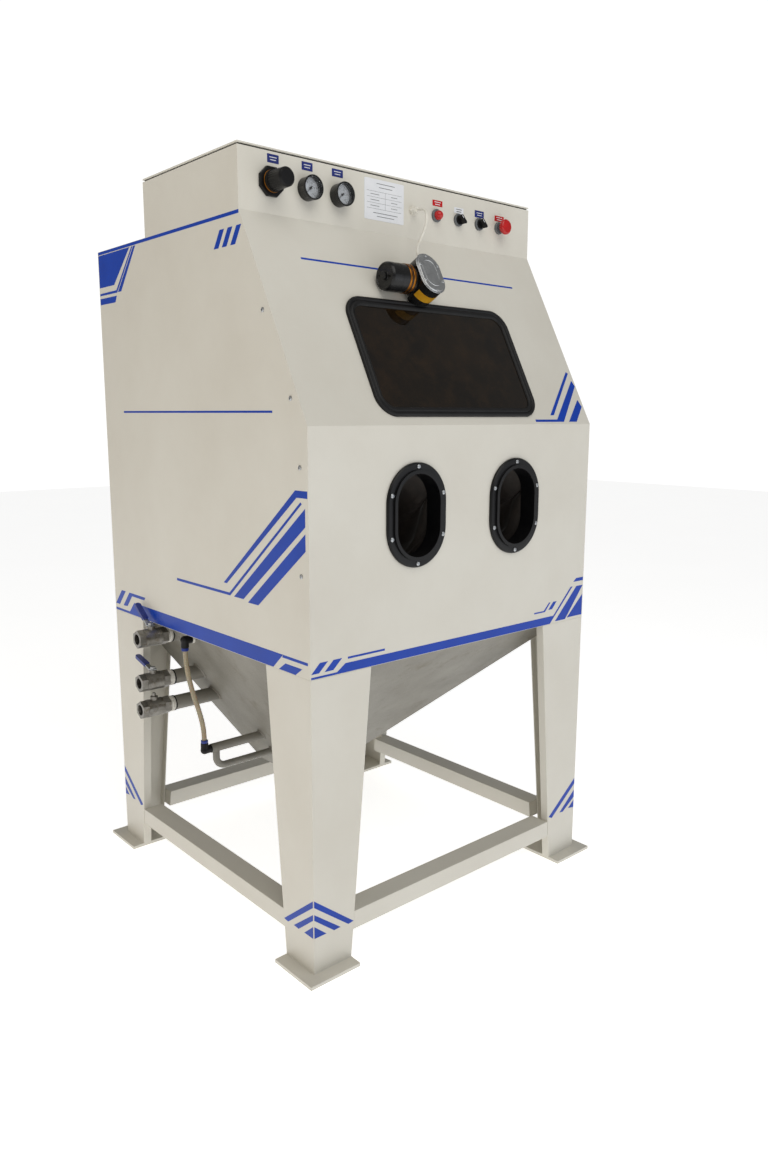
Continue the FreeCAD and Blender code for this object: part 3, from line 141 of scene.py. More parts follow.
surfaces = {
    # baked polyester powder: an even off-white with a faint orange peel and soft highlights
    "creamPowderCoat": dict(colours=("D8D5CB", "D2CEC3"), patch=260, grain=3.0, relief=0.035,
                            roughness=(0.33, 0.43), sockets={"IOR": 1.5}),
    # the same paint under the chamber: its darker colours are painted shade under the chamber, and dried
    # slurry dulls it and leaves stains
    "shadeAndSlurryPowderCoat": dict(colours=("8A877F", "77746B"), patch=130, grain=3.0, relief=0.05,
                             roughness=(0.42, 0.6), stain=("665F50", 70, 0.55, 0.8)),
    # cast vinyl film: flat strong blue, a little shinier than the paint it lies on
    "blueVinylFilm": dict(colours=("003EAE", "0038A2"), patch=90, grain=4.0, relief=0.01,
                          roughness=(0.28, 0.36), sockets={"Specular IOR Level": 0.3}),
    # extruded rubber: black with a dull bloom that catches light along the beads
    "blackRubber": dict(colours=("0B0B0C", "141415"), patch=40, grain=1.5, relief=0.05,
                        roughness=(0.42, 0.62), sockets={"Specular IOR Level": 0.3}),
    # moulded ABS: black, fine spark texture
    "blackMouldedPlastic": dict(colours=("08080A", "101011"), patch=30, grain=1.0, relief=0.04,
                                roughness=(0.3, 0.45), sockets={"Specular IOR Level": 0.25}),
    # moulded nylon, mid grey: satin, with the faint grain of the mould
    "greyMouldedPlastic": dict(colours=("5B5E61", "686B6E"), patch=30, grain=1.0, relief=0.03,
                               roughness=(0.35, 0.5)),
    # white nylon and PVC: slightly yellowed, soft sheen
    "whiteNylon": dict(colours=("E6E3DA", "DAD6CA"), patch=20, grain=1.0, relief=0.03,
                       roughness=(0.35, 0.5)),
    # gloss red acetal and acrylic: deep even red
    "redGlossPlastic": dict(colours=("C3191B", "A81214"), patch=30, grain=1.2, relief=0.015,
                            roughness=(0.16, 0.26)),
    # stove enamel on the motor can: black, quite shiny, with a few dust specks
    "blackEnamel": dict(colours=("0C0C0D", "151515"), patch=30, grain=1.6, relief=0.03,
                        roughness=(0.2, 0.36), stain=("6E6A60", 9, 0.66, 0.8),
                        sockets={"Specular IOR Level": 0.35}),
    # yellow passivated steel: gold with brown patches
    "yellowZincSteel": dict(colours=("A8702A", "7C4A1C"), patch=12, grain=0.8, relief=0.02,
                            roughness=(0.25, 0.42), sockets={"Metallic": 1.0}),
    # die-cast zinc alloy: silver, cloudy gloss
    "castAlloy": dict(colours=("C9CBCC", "B2B4B6"), patch=14, grain=1.0, relief=0.03,
                      roughness=(0.22, 0.4), sockets={"Metallic": 1.0}),
    # bright zinc plate: bluish steel with dull spots
    "zincPlatedSteel": dict(colours=("B9BCBF", "9EA1A4"), patch=6, grain=0.8, relief=0.02,
                            roughness=(0.24, 0.45), sockets={"Metallic": 1.0},
                            stain=("6B5A45", 7, 0.6, 0.75)),
    # nickel on forged brass: satin grey with warm worn spots
    "nickelPlatedBrass": dict(colours=("9C9A95", "7F7C76"), patch=16, grain=1.6, relief=0.09,
                              roughness=(0.3, 0.5), sockets={"Metallic": 1.0},
                              stain=("6A5C48", 14, 0.55, 0.72)),
    # satin stainless bars, greyed by abrasive
    "blastedStainless": dict(colours=("BABBBB", "A3A4A4"), patch=25, grain=1.0, relief=0.05,
                             roughness=(0.4, 0.58), sockets={"Metallic": 1.0}),
    # wrapped sealing tape: chalk white, soft edges
    "sealingTape": dict(colours=("E8E6E0", "D2CFC6"), patch=5, grain=1.0, relief=0.15,
                        roughness=(0.55, 0.75), stretch=(1, 0.25, 0.25)),
    # dipped vinyl grip: strong blue, soft sheen
    "dippedVinyl": dict(colours=("12318F", "0C2474"), patch=12, grain=1.5, relief=0.03,
                        roughness=(0.25, 0.4)),
    # coated cotton: brownish black and dull, slightly dusty on the ridges
    "coatedCloth": dict(colours=("1D1814", "2E2620"), patch=25, grain=1.4, relief=0.10,
                        roughness=(0.55, 0.8), sockets={"Sheen Weight": 0.25, "Sheen Roughness": 0.4}),
    # printed aluminium dial: cool white, nearly matt behind the lens
    "dialCard": dict(colours=("E9EDF2", "DDE2E8"), patch=30, grain=1.0, relief=0.005,
                     roughness=(0.35, 0.45)),
    # engraving laminate: white, flat, with a soft gloss
    "printedPlate": dict(colours=("E6E7EA", "DEE0E4"), patch=60, grain=2.0, relief=0.01,
                         roughness=(0.25, 0.35)),
    # the same laminate in navy
    "blueLegend": dict(colours=("1B2C7C", "172568"), patch=30, grain=2.0, relief=0.01,
                       roughness=(0.28, 0.36)),
    # screen ink: soft black with no depth of its own
    "blackInk": dict(colours=("1A1B20", "24252A"), patch=10, grain=1.0, relief=0.005,
                     roughness=(0.4, 0.5)),
    # printed foil: flat yellow ochre
    "ochreLabel": dict(colours=("C9951C", "B98412"), patch=20, grain=2.0, relief=0.01,
                       roughness=(0.3, 0.42)),
    # nitrile hose: black, smooth cover with a dull sheen
    "nitrileHose": dict(colours=("121213", "1B1B1C"), patch=20, grain=1.0, relief=0.04,
                        roughness=(0.4, 0.55)),
}
made = {name: makeSurface(name, look) for name, look in surfaces.items()}


# Laminated glass with a brown tint, under a thin film of dried slurry
def makeWindowGlass():
    material = makeSurface("tintedLaminatedGlass", dict(
        colours=("0F0A05", "1E150A"), patch=110, grain=14.0, relief=0.02, roughness=(0.03, 0.1),
        stain=("2A1D0E", 60, 0.45, 0.7),
        sockets={"IOR": 1.42, "Transmission Weight": 0.2}))
    return material


# Acrylic lens: clear, so that the dial shows through with a soft reflection
def makeClearLens():
    material = makeSurface("clearAcrylic", dict(
        colours=("FFFFFF", "F4F8FA"), patch=20, grain=3.0, relief=0.004, roughness=(0.02, 0.05),
        sockets={"IOR": 1.49, "Transmission Weight": 1.0, "Alpha": 0.25}))
    return material


# Soft PVC tube: cloudy, with the straw colour of the water that stands in it
def makeTube():
    material = makeSurface("cloudySoftTube", dict(
        colours=("B3AA90", "A0967C"), patch=60, grain=3.0, relief=0.02, roughness=(0.18, 0.3),
        sockets={"IOR": 1.5, "Transmission Weight": 0.25, "Subsurface Weight": 0.2}))
    return material


made["windowGlass"] = makeWindowGlass()
made["clearLens"] = makeClearLens()
made["softTube"] = makeTube()
print("materials made:", len(made))


def addRing(bm, radius, height, half, count):
    loop = bmesh.ops.create_circle(bm, segments=count, radius=radius)["verts"]
    bmesh.ops.rotate(bm, verts=loop, matrix=Matrix.Rotation(math.pi / count, 3, "Z"))
    for vert in loop:
        vert.co += Vector((math.copysign(half[0], vert.co.x), math.copysign(half[1], vert.co.y), height))
    return loop


# A turned shape from (radius, height) steps; half stretches it into a rounded rectangle or an obround
def addTurned(bm, steps, place, half=(0, 0), count=48, closed=False):
    loops = [addRing(bm, radius, height, half, count) for radius, height in steps]
    edges = [list({e for v in loop for e in v.link_edges}) for loop in loops]
    pairs = list(zip(edges, edges[1:]))
    if closed:
        pairs.append((edges[-1], edges[0]))
    for first, second in pairs:
        bmesh.ops.bridge_loops(bm, edges=first + second)
    if not closed:
        bmesh.ops.edgeloop_fill(bm, edges=edges[0])
        bmesh.ops.edgeloop_fill(bm, edges=edges[-1])
    bmesh.ops.transform(bm, matrix=place, verts=[v for loop in loops for v in loop])


def addBox(bm, size, place, edge=0.0):
    verts = bmesh.ops.create_cube(bm, size=1.0)["verts"]
    bmesh.ops.scale(bm, vec=size, verts=verts)
    if edge:
        edges = list({e for v in verts for e in v.link_edges})
        beveled = bmesh.ops.bevel(bm, geom=edges, offset=edge, affect="EDGES", segments=2, profile=0.5,
                                  material=-1)
        verts = beveled["verts"] if len(beveled["verts"]) > 8 else verts
    verts = list({v for v in verts if v.is_valid})
    bmesh.ops.transform(bm, matrix=place, verts=verts)


def addOutline(bm, points, thickness, place):
    verts = [bm.verts.new((x, y, 0)) for x, y in points]
    face = bm.faces.new(verts)
    raised = bmesh.ops.extrude_face_region(bm, geom=[face])["geom"]
    top = [g for g in raised if isinstance(g, bmesh.types.BMVert)]
    bmesh.ops.translate(bm, vec=(0, 0, thickness), verts=top)
    bmesh.ops.transform(bm, matrix=place, verts=verts + top)


def makePiece(name, bm, material, body="cabinet", stands=(), smooth=32):
    bmesh.ops.recalc_face_normals(bm, faces=bm.faces)
    mesh = bpy.data.meshes.new(name)
    bm.to_mesh(mesh)
    bm.free()
    piece = bpy.data.objects.new(name, mesh)
    bpy.context.scene.collection.objects.link(piece)
    mesh.materials.append(made[material])
    mesh.shade_smooth()
    mesh.set_sharp_from_angle(angle=math.radians(smooth))
    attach(piece, body)
    if stands:
        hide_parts(*stands)
    return piece


# A merged copy of a CAD node whose sharp edges are eased, as folded and moulded edges are
def easedCopy(node, width, materials, body="cabinet", chooser=None, angle=28, segments=2):
    bm = bmesh.new()
    bm.from_mesh(frame["nodes"][node].data)
    bmesh.ops.remove_doubles(bm, verts=bm.verts, dist=0.000002)
    bmesh.ops.dissolve_limit(bm, angle_limit=math.radians(0.4), verts=bm.verts, edges=bm.edges)
    mesh = bpy.data.meshes.new(node + "_eased")
    bm.to_mesh(mesh)
    bm.free()
    piece = bpy.data.objects.new(node + "_eased", mesh)
    bpy.context.scene.collection.objects.link(piece)
    for name in materials:
        mesh.materials.append(made[name])
    for face in mesh.polygons:
        face.material_index = chooser(face.center) if chooser else 0
    mesh.shade_smooth()
    mesh.set_sharp_from_angle(angle=math.radians(angle))
    ease = piece.modifiers.new("ease", "BEVEL")
    ease.width = width * mm
    ease.segments = segments
    ease.limit_method = "ANGLE"
    ease.angle_limit = math.radians(angle)
    ease.harden_normals = True
    ease.use_clamp_overlap = True
    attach(piece, body)
    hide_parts(node)
    return piece


cameraValues = dict(place=(-1.6525, -2.0663, 1.3295), tilt=79.78, roll=-0.13, turn=-41.18, lens=27.96)
camera = bpy.data.objects.new("viewCamera", bpy.data.cameras.new("viewCamera"))
camera.location = cameraValues["place"]
camera.rotation_euler = [math.radians(cameraValues[k]) for k in ("tilt", "roll", "turn")]
camera.data.lens = cameraValues["lens"]
camera.data.clip_end = 60
bpy.context.scene.collection.objects.link(camera)
bpy.context.scene.camera = camera

lightValues = {
    "softTop": dict(place=(-0.6, -2.2, 3.6), aim=(0, 0, 1.1), size=2.6, power=41, colour="FFFDF8"),
    "leftFill": dict(place=(-3.6, 0.2, 1.9), aim=(0, 0, 1.0), size=2.4, power=22, colour="FFF0DA"),
    "frontFill": dict(place=(1.6, -3.6, 1.2), aim=(0, 0, 0.9), size=2.4, power=13, colour="EAF1FF"),
}
for name, value in lightValues.items():
    light = bpy.data.lights.new(name, "AREA")
    light.shape = "SQUARE"
    light.size = value["size"]
    light.energy = value["power"]
    light.color = linear(value["colour"])[:3]
    lamp = bpy.data.objects.new(name, light)
    lamp.location = value["place"]
    lamp.rotation_euler = (Vector(value["aim"]) - lamp.location).to_track_quat("-Z", "Y").to_euler()
    bpy.context.scene.collection.objects.link(lamp)

# A white room that lights the object softly and stays white behind it, seen through the plain colour view
roomValues = dict(colour="FBFBFA", light=0.26, behind=1.1, colourView="Standard")
world = bpy.data.worlds.new("studio")
world.use_nodes = True
background = world.node_tree.nodes["Background"]
background.inputs["Color"].default_value = linear(roomValues["colour"])
seen = addNode(world.node_tree, "ShaderNodeLightPath")
strength = addNode(world.node_tree, "ShaderNodeMapRange",
                   {"Value": seen.outputs["Is Camera Ray"], "To Min": roomValues["light"],
                    "To Max": roomValues["behind"]})
world.node_tree.links.new(strength.outputs[0], background.inputs["Strength"])
bpy.context.scene.world = world
bpy.context.scene.view_settings.view_transform = roomValues["colourView"]

# Sealed screed: white and almost even, with a little light of its own so that it stays white
surfaces["paleFloor"] = dict(colours=("FBFBFA", "F7F7F6"), patch=700, grain=8.0, relief=0.05,
                             roughness=(0.55, 0.7),
                             sockets={"Emission Color": (1, 1, 1, 1), "Emission Strength": 0.7})
made["paleFloor"] = makeSurface("paleFloor", surfaces["paleFloor"])
bm = bmesh.new()
bmesh.ops.create_grid(bm, x_segments=2, y_segments=2, size=14)
floorMesh = bpy.data.meshes.new("floor")
bm.to_mesh(floorMesh)
bm.free()
floor = bpy.data.objects.new("floor", floorMesh)
floor.data.materials.append(made["paleFloor"])
bpy.context.scene.collection.objects.link(floor)
print("camera, floor and light set")


cords = {
    "wiperLead": dict(node="wiper_cable", thickness=6.4, material="whiteNylon", slot="white_cable",
                      points=((34, -268, 1855), (34, -290, 1855), (31, -306, 1844), (26, -313, 1822),
                              (17, -315, 1797), (-1, -318, 1770))),
    "levelTube": dict(node="level_tube_hose", thickness=14, material="softTube", slot="clear_hose",
                      points=((-490, 93, 703), (-490, 93, 663.9), (-483, 93, 612.7), (-471, 93, 561.5),
                              (-455, 93, 510.4), (-445, 93, 471.2), (-440, 93, 438.1), (-440, 93, 402))),
    "gunHose": dict(node="gun_hose", thickness=18, material="nitrileHose", slot="black_hose",
                    points=((-430, 125, 1180), (-430, 172, 1180), (-424, 222, 1165), (-404, 268, 1140),
                            (-368, 306, 1112), (-322, 334, 1094), (-270, 352, 1087), (-223, 370, 1093),
                            (-188, 398, 1108), (-175, 431, 1120), (-175, 466, 1120))),
}
# The wiper lead ends on the socket at the top of the gearbox
socket = dict(x=-20, top=434, height=44, inset=10, straight=35)
socketEnd = onSlope @ Vector((socket["x"], socket["top"] + socket["inset"], socket["height"])) / mm
beforeSocket = onSlope @ Vector((socket["x"], socket["top"] + socket["straight"], socket["height"])) / mm
cords["wiperLead"]["points"] += (tuple(beforeSocket), tuple(socketEnd))


def makeCord(name, value):
    curve = bpy.data.curves.new(name, "CURVE")
    curve.dimensions = "3D"
    curve.bevel_depth = value["thickness"] / 2 * mm
    curve.bevel_resolution = 6
    curve.resolution_u = 10
    curve.use_fill_caps = True
    spline = curve.splines.new("NURBS")
    spline.points.add(len(value["points"]) - 1)
    for point, place in zip(spline.points, value["points"]):
        point.co = (*[c * mm for c in place], 1)
    spline.order_u = 3
    spline.use_endpoint_u = True
    curve.materials.append(made[value["material"]])
    piece = bpy.data.objects.new(name, curve)
    bpy.context.scene.collection.objects.link(piece)
    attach(piece, "cabinet")
    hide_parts(value["node"])
    bpy.context.view_layer.update()
    line = curve.copy()
    line.bevel_depth = 0
    probe = bpy.data.objects.new(name + "Probe", line)
    bpy.context.scene.collection.objects.link(probe)
    bpy.context.view_layer.update()
    mesh = bpy.data.meshes.new_from_object(probe)
    bpy.data.objects.remove(probe)
    bpy.data.meshes.remove(mesh)
    return piece


for name, value in cords.items():
    makeCord(name, value)

# Every CAD node that keeps its own mesh gets its finish here
plainParts = {
    "work_grate": "blastedStainless", "door_hinges": "zincPlatedSteel", "door_gasket": "blackRubber",
    "port_screws": "zincPlatedSteel", "side_screws": "zincPlatedSteel", "wiper_blade": "blackRubber",
    "wiper_arm": "blackEnamel", "estop_stem": "greyMouldedPlastic", "pilot_lens": "redGlossPlastic",
    "regulator_body": "castAlloy", "bottom_valve_stem": "nickelPlatedBrass",
    "left_gauge_needle": "blackInk", "right_gauge_needle": "blackInk", "gauge_lenses": "clearLens",
    "window_glass": "windowGlass", "data_plate": "printedPlate",
}
for node, material in plainParts.items():
    mesh = frame["nodes"][node].data
    mesh.materials.clear()
    mesh.materials.append(made[material])

# Folded, moulded and cast parts get eased edges: node, width in mm, finish
easedParts = [
    ("left_side_panel", 0.8, "creamPowderCoat"), ("right_side_panel", 0.8, "creamPowderCoat"),
    ("front_panel", 1.2, "creamPowderCoat"), ("back_panel", 0.8, "creamPowderCoat"),
    ("roof_panel", 0.8, "creamPowderCoat"), ("control_box", 1.0, "creamPowderCoat"),
    ("control_box_lid", 1.0, "creamPowderCoat"), ("front_left_leg", 1.5, "creamPowderCoat"),
    ("front_right_leg", 1.5, "creamPowderCoat"), ("back_left_leg", 1.5, "creamPowderCoat"),
    ("back_right_leg", 1.5, "creamPowderCoat"), ("bottom_rails", 2.0, "creamPowderCoat"),
    # the hopper and its pipes take the darker paint: painted shade under the chamber, with slurry stains
    ("hopper", 0.8, "shadeAndSlurryPowderCoat"), ("sump_pipes", 0.8, "shadeAndSlurryPowderCoat"),
    ("slurry_pump", 1.5, "greyMouldedPlastic"), ("valve_pipes", 0.8, "shadeAndSlurryPowderCoat"),
    ("left_port_flange", 1.0, "blackMouldedPlastic"), ("right_port_flange", 1.0, "blackMouldedPlastic"),
    ("cable_gland", 0.6, "whiteNylon"), ("wiper_gearbox", 1.5, "blackEnamel"),
    ("gearbox_cover", 0.8, "castAlloy"), ("gauge_cases", 0.7, "blackEnamel"),
    ("switch_bezels", 0.5, "greyMouldedPlastic"), ("valve_bodies", 1.2, "nickelPlatedBrass"),
    ("level_tube_elbows", 1.0, "blackMouldedPlastic"), ("regulator_nut", 0.8, "blackMouldedPlastic"),
    ("interior_lamp", 1.0, "whiteNylon"), ("blast_gun", 1.0, "castAlloy"),
    ("door_panel", 1.2, "creamPowderCoat"), ("door_latch", 1.2, "blackMouldedPlastic"),
    ("regulator_knob", 0.5, "blackMouldedPlastic"), ("left_selector_knob", 1.0, "blackMouldedPlastic"),
    ("right_selector_knob", 1.0, "blackMouldedPlastic"), ("estop_head", 1.2, "redGlossPlastic"),
]
movingBodies = {
    "door_panel": "door", "door_latch": "latch", "regulator_knob": "regulator_dial",
    "left_selector_knob": "left_selector", "right_selector_knob": "right_selector",
    "estop_head": "estop_button",
}
for node, width, material in easedParts:
    easedCopy(node, width, [material], body=movingBodies.get(node, "cabinet"))
print("edges eased:", len(easedParts))


# Livery: plain blue film in bars and bands, drawn flat in mm for each face
film = dict(thickness=0.25)
frontHalf = rightX / mm
liveryLeft = [
    # lower band with its tail, blocks and back bars; across is -y
    [(-353, 741), (-394, 779), (373, 779), (404, 748), (497, 748), (497, 741)],
    [(-390, 772), (-394, 779), (-491, 779), (-491, 772)],
    [(-376, 741), (-403, 760), (-469, 760), (-443, 741)],
    [(497, 760), (453, 806), (427, 806), (471, 760)],
    [(446, 760), (402, 806), (299, 806), (307, 797), (385, 797), (419, 762)],
    # diagonals near the front edge
    [(104, 892), (104, 885), (-168, 885), (-476, 1136), (-471, 1140), (-165, 892)],
    [(-139, 914), (-452, 1165), (-497, 1165), (-497, 1149), (-457, 1149), (-154, 914)],
    [(-186, 885), (-488, 1127), (-488, 1086), (-229, 885)],
    [(-249, 880), (-488, 1071), (-488, 1032), (-294, 880)],
    # top line and the blocks at the back corner
    [(-250, 1776), (-250, 1784), (497, 1784), (497, 1776)],
    [(497, 1774), (299, 1774), (403, 1686), (497, 1686)],
    [(497, 1670), (390, 1671), (287, 1774), (280, 1774), (386, 1664), (497, 1664)],
    [(381, 1665), (276, 1774), (264, 1774), (360, 1665)],
    [(497, 1656), (389, 1656), (400, 1639), (497, 1639)],
    [(-369, 1333), (-369, 1338), (380, 1338), (380, 1333)],
]
slantedBar = [(-139, 1711), (-167, 1751), (-187, 1751), (-160, 1711)]
liveryLeft += [[(y - step, z) for y, z in slantedBar] for step in (0, 36, 73)]
liveryFront = [
    [(-498, 741), (-498, 746), (-424, 746), (-399, 763), (365, 763), (441, 838), (450, 838), (350, 741)],
    [(-498, 753), (-473, 777), (-450, 777), (-476, 753)],
    [(-460, 753), (-434, 777), (-409, 777), (-435, 753)],
    [(-392, 772), (-392, 777), (-278, 777), (-278, 772)],
    [(279, 779), (279, 783), (321, 783), (343, 804), (350, 804), (326, 779)],
    [(341, 783), (362, 804), (378, 804), (358, 783)], [(373, 745), (468, 837), (498, 837), (420, 745)],
    [(428, 748), (498, 810), (498, 748)], [(452, 851), (466, 861), (498, 861), (498, 851)],
]
liverySlope = [
    [(336, 27), (479, 165), (486, 160), (351, 27)],
    [(265, 14), (359, 14), (489, 137), (496, 119), (385, 7), (265, 7)],
    [(408, 7), (484, 76), (492, 54), (443, 7)],
    [(-366, 428), (-366, 433), (378, 433), (378, 428)],
]
# Chevrons on the legs, the same on both outer faces of a leg
chevronsLeft = [
    [(-498, 200), (-378, 103), (-395, 101), (-498, 183)],
    [(-498, 165), (-419, 103), (-439, 102), (-498, 150)],
    [(-498, 134), (-462, 103), (-498, 103)],
]
chevronsRight = [
    [(378, 141), (498, 233), (498, 215), (393, 134)],
    [(430, 140), (498, 195), (498, 172), (446, 138)],
    [(472, 142), (498, 162), (498, 138)],
]


def layFilm(name, outlines, place, flip=1):
    bm = bmesh.new()
    for outline in outlines:
        addOutline(bm, [(flip * x, y) for x, y in outline], film["thickness"], place)
    makePiece(name, bm, "blueVinylFilm")


layFilm("filmLeftSide", liveryLeft, onLeft, flip=-1)
layFilm("filmLeftLegs", chevronsLeft + chevronsRight, onLeft, flip=-1)
layFilm("filmFront", liveryFront, onFront)
layFilm("filmFrontLegs", chevronsLeft + chevronsRight, onFront)
layFilm("filmSlope", liverySlope, onSlope)
print("livery laid")


# Window rubber: one extrusion with an outer and an inner bead round the glass
window = dict(centre=181.5, width=568, height=319, corner=55, count=96)
rubberProfile = [(55, 0.3), (55, 3.6), (53.5, 6.6), (50, 8), (46.6, 7.3), (45, 5.2), (44.2, 4.7), (43.2, 5.2),
                 (41.6, 7.2), (38.6, 8), (34.8, 7), (31.8, 4.8), (30.2, 1.9), (39.2, 1.8), (39.2, -4.8),
                 (30.6, -4.9), (31.4, -8), (36, -9.4), (50, -9.4), (52.6, -7), (52.6, -3.3), (42.2, -3.3),
                 (42.2, 0.3)]
windowHalf = (window["width"] / 2 - window["corner"], window["height"] / 2 - window["corner"])
bm = bmesh.new()
addTurned(bm, rubberProfile, onSlope @ at(0, window["centre"]), half=windowHalf, count=window["count"],
          closed=True)
makePiece("windowRubber", bm, "blackRubber", stands=["window_gasket"], smooth=50)
print("window rubber made")


# Wiper motor: a drawn can with a rolled end cap and two gold bands
motor = dict(start=-150, s=383, height=37, bands=(50, 62), bandWidth=8)
motorPlace = onSlope @ at(motor["start"], motor["s"], motor["height"]) @ turnedBy(90, "Y")
bm = bmesh.new()
canSteps = [(3, -11.6), (9, -11.6), (10, -10.6), (10, -6.4), (12.5, -6.2), (13.5, -5), (27, -5),
            (28, -6.4), (31, -6.2), (33.6, -3.6), (34.8, 0), (35, 1), (35, 26), (34.5, 26.5), (34.5, 28),
            (35, 28.5), (35, 76)]
addTurned(bm, canSteps, motorPlace, count=72)
makePiece("motorCan", bm, "blackEnamel", stands=["wiper_motor"], smooth=40)
bm = bmesh.new()
for start in motor["bands"]:
    end = start + motor["bandWidth"]
    bandSteps = [(34.6, start), (35.3, start), (35.8, start + 0.7), (35.8, end - 0.7), (35.3, end),
                 (34.6, end)]
    addTurned(bm, bandSteps, motorPlace, count=72, closed=True)
makePiece("motorBands", bm, "yellowZincSteel", smooth=40)

# Gearbox: cover screws, a raised rib round the cover and the yellow patch on the housing
gearbox = dict(x=-34, s=379, top=79)
bm = bmesh.new()
for x, s in ((-29, 22), (29, 22), (-29, -22), (29, -22), (0, 49), (0, -49)):
    screwPlace = onSlope @ at(gearbox["x"] + x, gearbox["s"] + s, gearbox["top"] - 0.6)
    addTurned(bm, [(1.4, 0), (4.0, 0), (4.0, 1.6), (3.2, 2.6), (1.8, 2.9), (1.4, 1.6)], screwPlace, count=20)
addTurned(bm, [(20, -0.2), (24, -0.2), (23, 1.2), (21, 1.2)],
          onSlope @ at(gearbox["x"], gearbox["s"], gearbox["top"]), half=(0, 14), closed=True)
makePiece("gearboxTrim", bm, "castAlloy")
bm = bmesh.new()
addTurned(bm, [(37.6, 30), (38.6, 30), (38.6, 52), (37.6, 52)], onSlope @ at(gearbox["x"], gearbox["s"]),
          half=(0, 17), closed=True)
bmesh.ops.bisect_plane(bm, geom=bm.verts[:] + bm.edges[:] + bm.faces[:], clear_outer=True,
                       plane_co=onSlope @ Vector((0, gearbox["s"] - 34, 0)), plane_no=slopeUp)
bmesh.ops.holes_fill(bm, edges=[edge for edge in bm.edges if edge.is_boundary])
makePiece("gearboxLabel", bm, "ochreLabel")
print("wiper drive made")


# Gauges: printed dial cards, scale marks and plain figures
controlsZ = (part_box("pilot_lens")[0].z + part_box("pilot_lens")[1].z) / 2 / mm
gaugeX = [joints[name]["pos_m"][0] / mm for name in ("left_needle_turn", "right_needle_turn")]
gauge = dict(dial=24.3, face=12.4, ticks=41, sweep=270, figures=("0", "2", "4", "6", "8", "10"), figure=5.4,
             figureCircle=14.4, tickCircle=22.6, spindle=1.3)
cards = bmesh.new()
marks = bmesh.new()
for x in gaugeX:
    cardSteps = [(gauge["spindle"], gauge["face"] - 0.3), (gauge["dial"], gauge["face"] - 0.3),
                 (gauge["dial"], gauge["face"]), (gauge["spindle"], gauge["face"])]
    addTurned(cards, cardSteps, onHead @ at(x, controlsZ), closed=True)
    for i in range(gauge["ticks"]):
        turn = gauge["sweep"] / 2 - i * gauge["sweep"] / (gauge["ticks"] - 1)
        isLong = i % 8 == 0
        size = (1.0, 4.6, 0.1) if isLong else (0.5, 2.6, 0.1)
        tickPlace = onHead @ at(x, controlsZ, gauge["face"] + 0.06) @ turnedBy(turn, "Z")
        addBox(marks, size, tickPlace @ at(0, gauge["tickCircle"] - size[1] / 2))


def addFigure(bm, figure, size, place):
    label = bpy.data.curves.new("figure", "FONT")
    label.body = figure
    label.size = size
    label.align_x = "CENTER"
    label.align_y = "CENTER"
    label.extrude = 0.05
    holder = bpy.data.objects.new("figure", label)
    bpy.context.scene.collection.objects.link(holder)
    bpy.context.view_layer.update()
    mesh = bpy.data.meshes.new_from_object(holder)
    bpy.data.objects.remove(holder)
    mesh.transform(place)
    bm.from_mesh(mesh)
    bpy.data.meshes.remove(mesh)


for x in gaugeX:
    for i, figure in enumerate(gauge["figures"]):
        turn = math.radians(90 + gauge["sweep"] / 2 - i * gauge["sweep"] / (len(gauge["figures"]) - 1))
        across = gauge["figureCircle"] * math.cos(turn)
        rise = gauge["figureCircle"] * math.sin(turn)
        addFigure(marks, figure, gauge["figure"],
                  onHead @ at(x + across, controlsZ + rise, gauge["face"] + 0.12))
makePiece("dialCards", cards, "dialCard")
makePiece("dialMarks", marks, "blackInk")
print("gauges dressed")

# Regulator: the plated ring that the knob locks against
regulatorX = joints["regulator_turn"]["pos_m"][0] / mm
bm = bmesh.new()
addTurned(bm, [(14.3, 9.2), (24.4, 9.2), (25, 9.8), (25, 11.9), (24.2, 12.6), (14.3, 12.6)],
          onHead @ at(regulatorX, controlsZ), closed=True)
makePiece("regulatorRing", bm, "yellowZincSteel")

# Plates: legends in their own colours with two plain bars, and a ruled table without words
legendNames = ["blueLegend", "redGlossPlastic", "printedPlate"]


def legendColour(centre):
    x = centre.x / mm
    return 1 if x > 340 or 80 < x < 165 else 2 if 165 < x < 245 else 0


easedCopy("legend_plates", 0.25, legendNames, chooser=legendColour)
# across, rise above the roof, width, colour
legends = [(-404, 121.5, 32, 0), (-307, 121.5, 32, 0), (-216, 121.5, 34, 0), (125, 102, 37, 1),
           (207, 95, 36, 2), (289, 97, 37, 0), (372, 96, 39, 1)]
bars = {0: bmesh.new(), 2: bmesh.new()}
for x, rise, width, colour in legends:
    for up, share in ((2.9, 0.62), (-2.9, 0.5)):
        addBox(bars[2 if colour == 2 else 0], (width * share, 1.7, 0.1),
               onHead @ at(x, roofZ / mm + rise + up, 0.66))
makePiece("legendBars", bars[0], "printedPlate")
makePiece("legendDarkBars", bars[2], "blackInk")

plate = dict(rows=(0.30, 0.44, 0.58, 0.72), bars=((0.10, 0.46), (0.19, 0.34), (0.82, 0.62), (0.90, 0.44)))
low, high = [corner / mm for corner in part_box("data_plate")]
middle = (low + high) / 2
wide, tall = high.x - low.x, high.z - low.z
out = headFront / mm - low.y + 0.05
rules = bmesh.new()
for share in plate["rows"]:
    addBox(rules, (wide * 0.88, 0.6, 0.1), onHead @ at(middle.x, high.z - share * tall, out))
addBox(rules, (0.6, tall * 0.42, 0.1), onHead @ at(middle.x + 3, high.z - 0.51 * tall, out))
for share, reach in plate["bars"]:
    addBox(rules, (wide * reach, 1.5, 0.1), onHead @ at(middle.x + 4, high.z - share * tall, out))
for row in plate["rows"][:-1]:
    for x, reach in ((-0.24, 0.22), (0.25, 0.16)):
        addBox(rules, (wide * reach, 1.3, 0.1),
               onHead @ at(middle.x + x * wide, high.z - (row + 0.07) * tall, out))
makePiece("plateRules", rules, "greyMouldedPlastic")

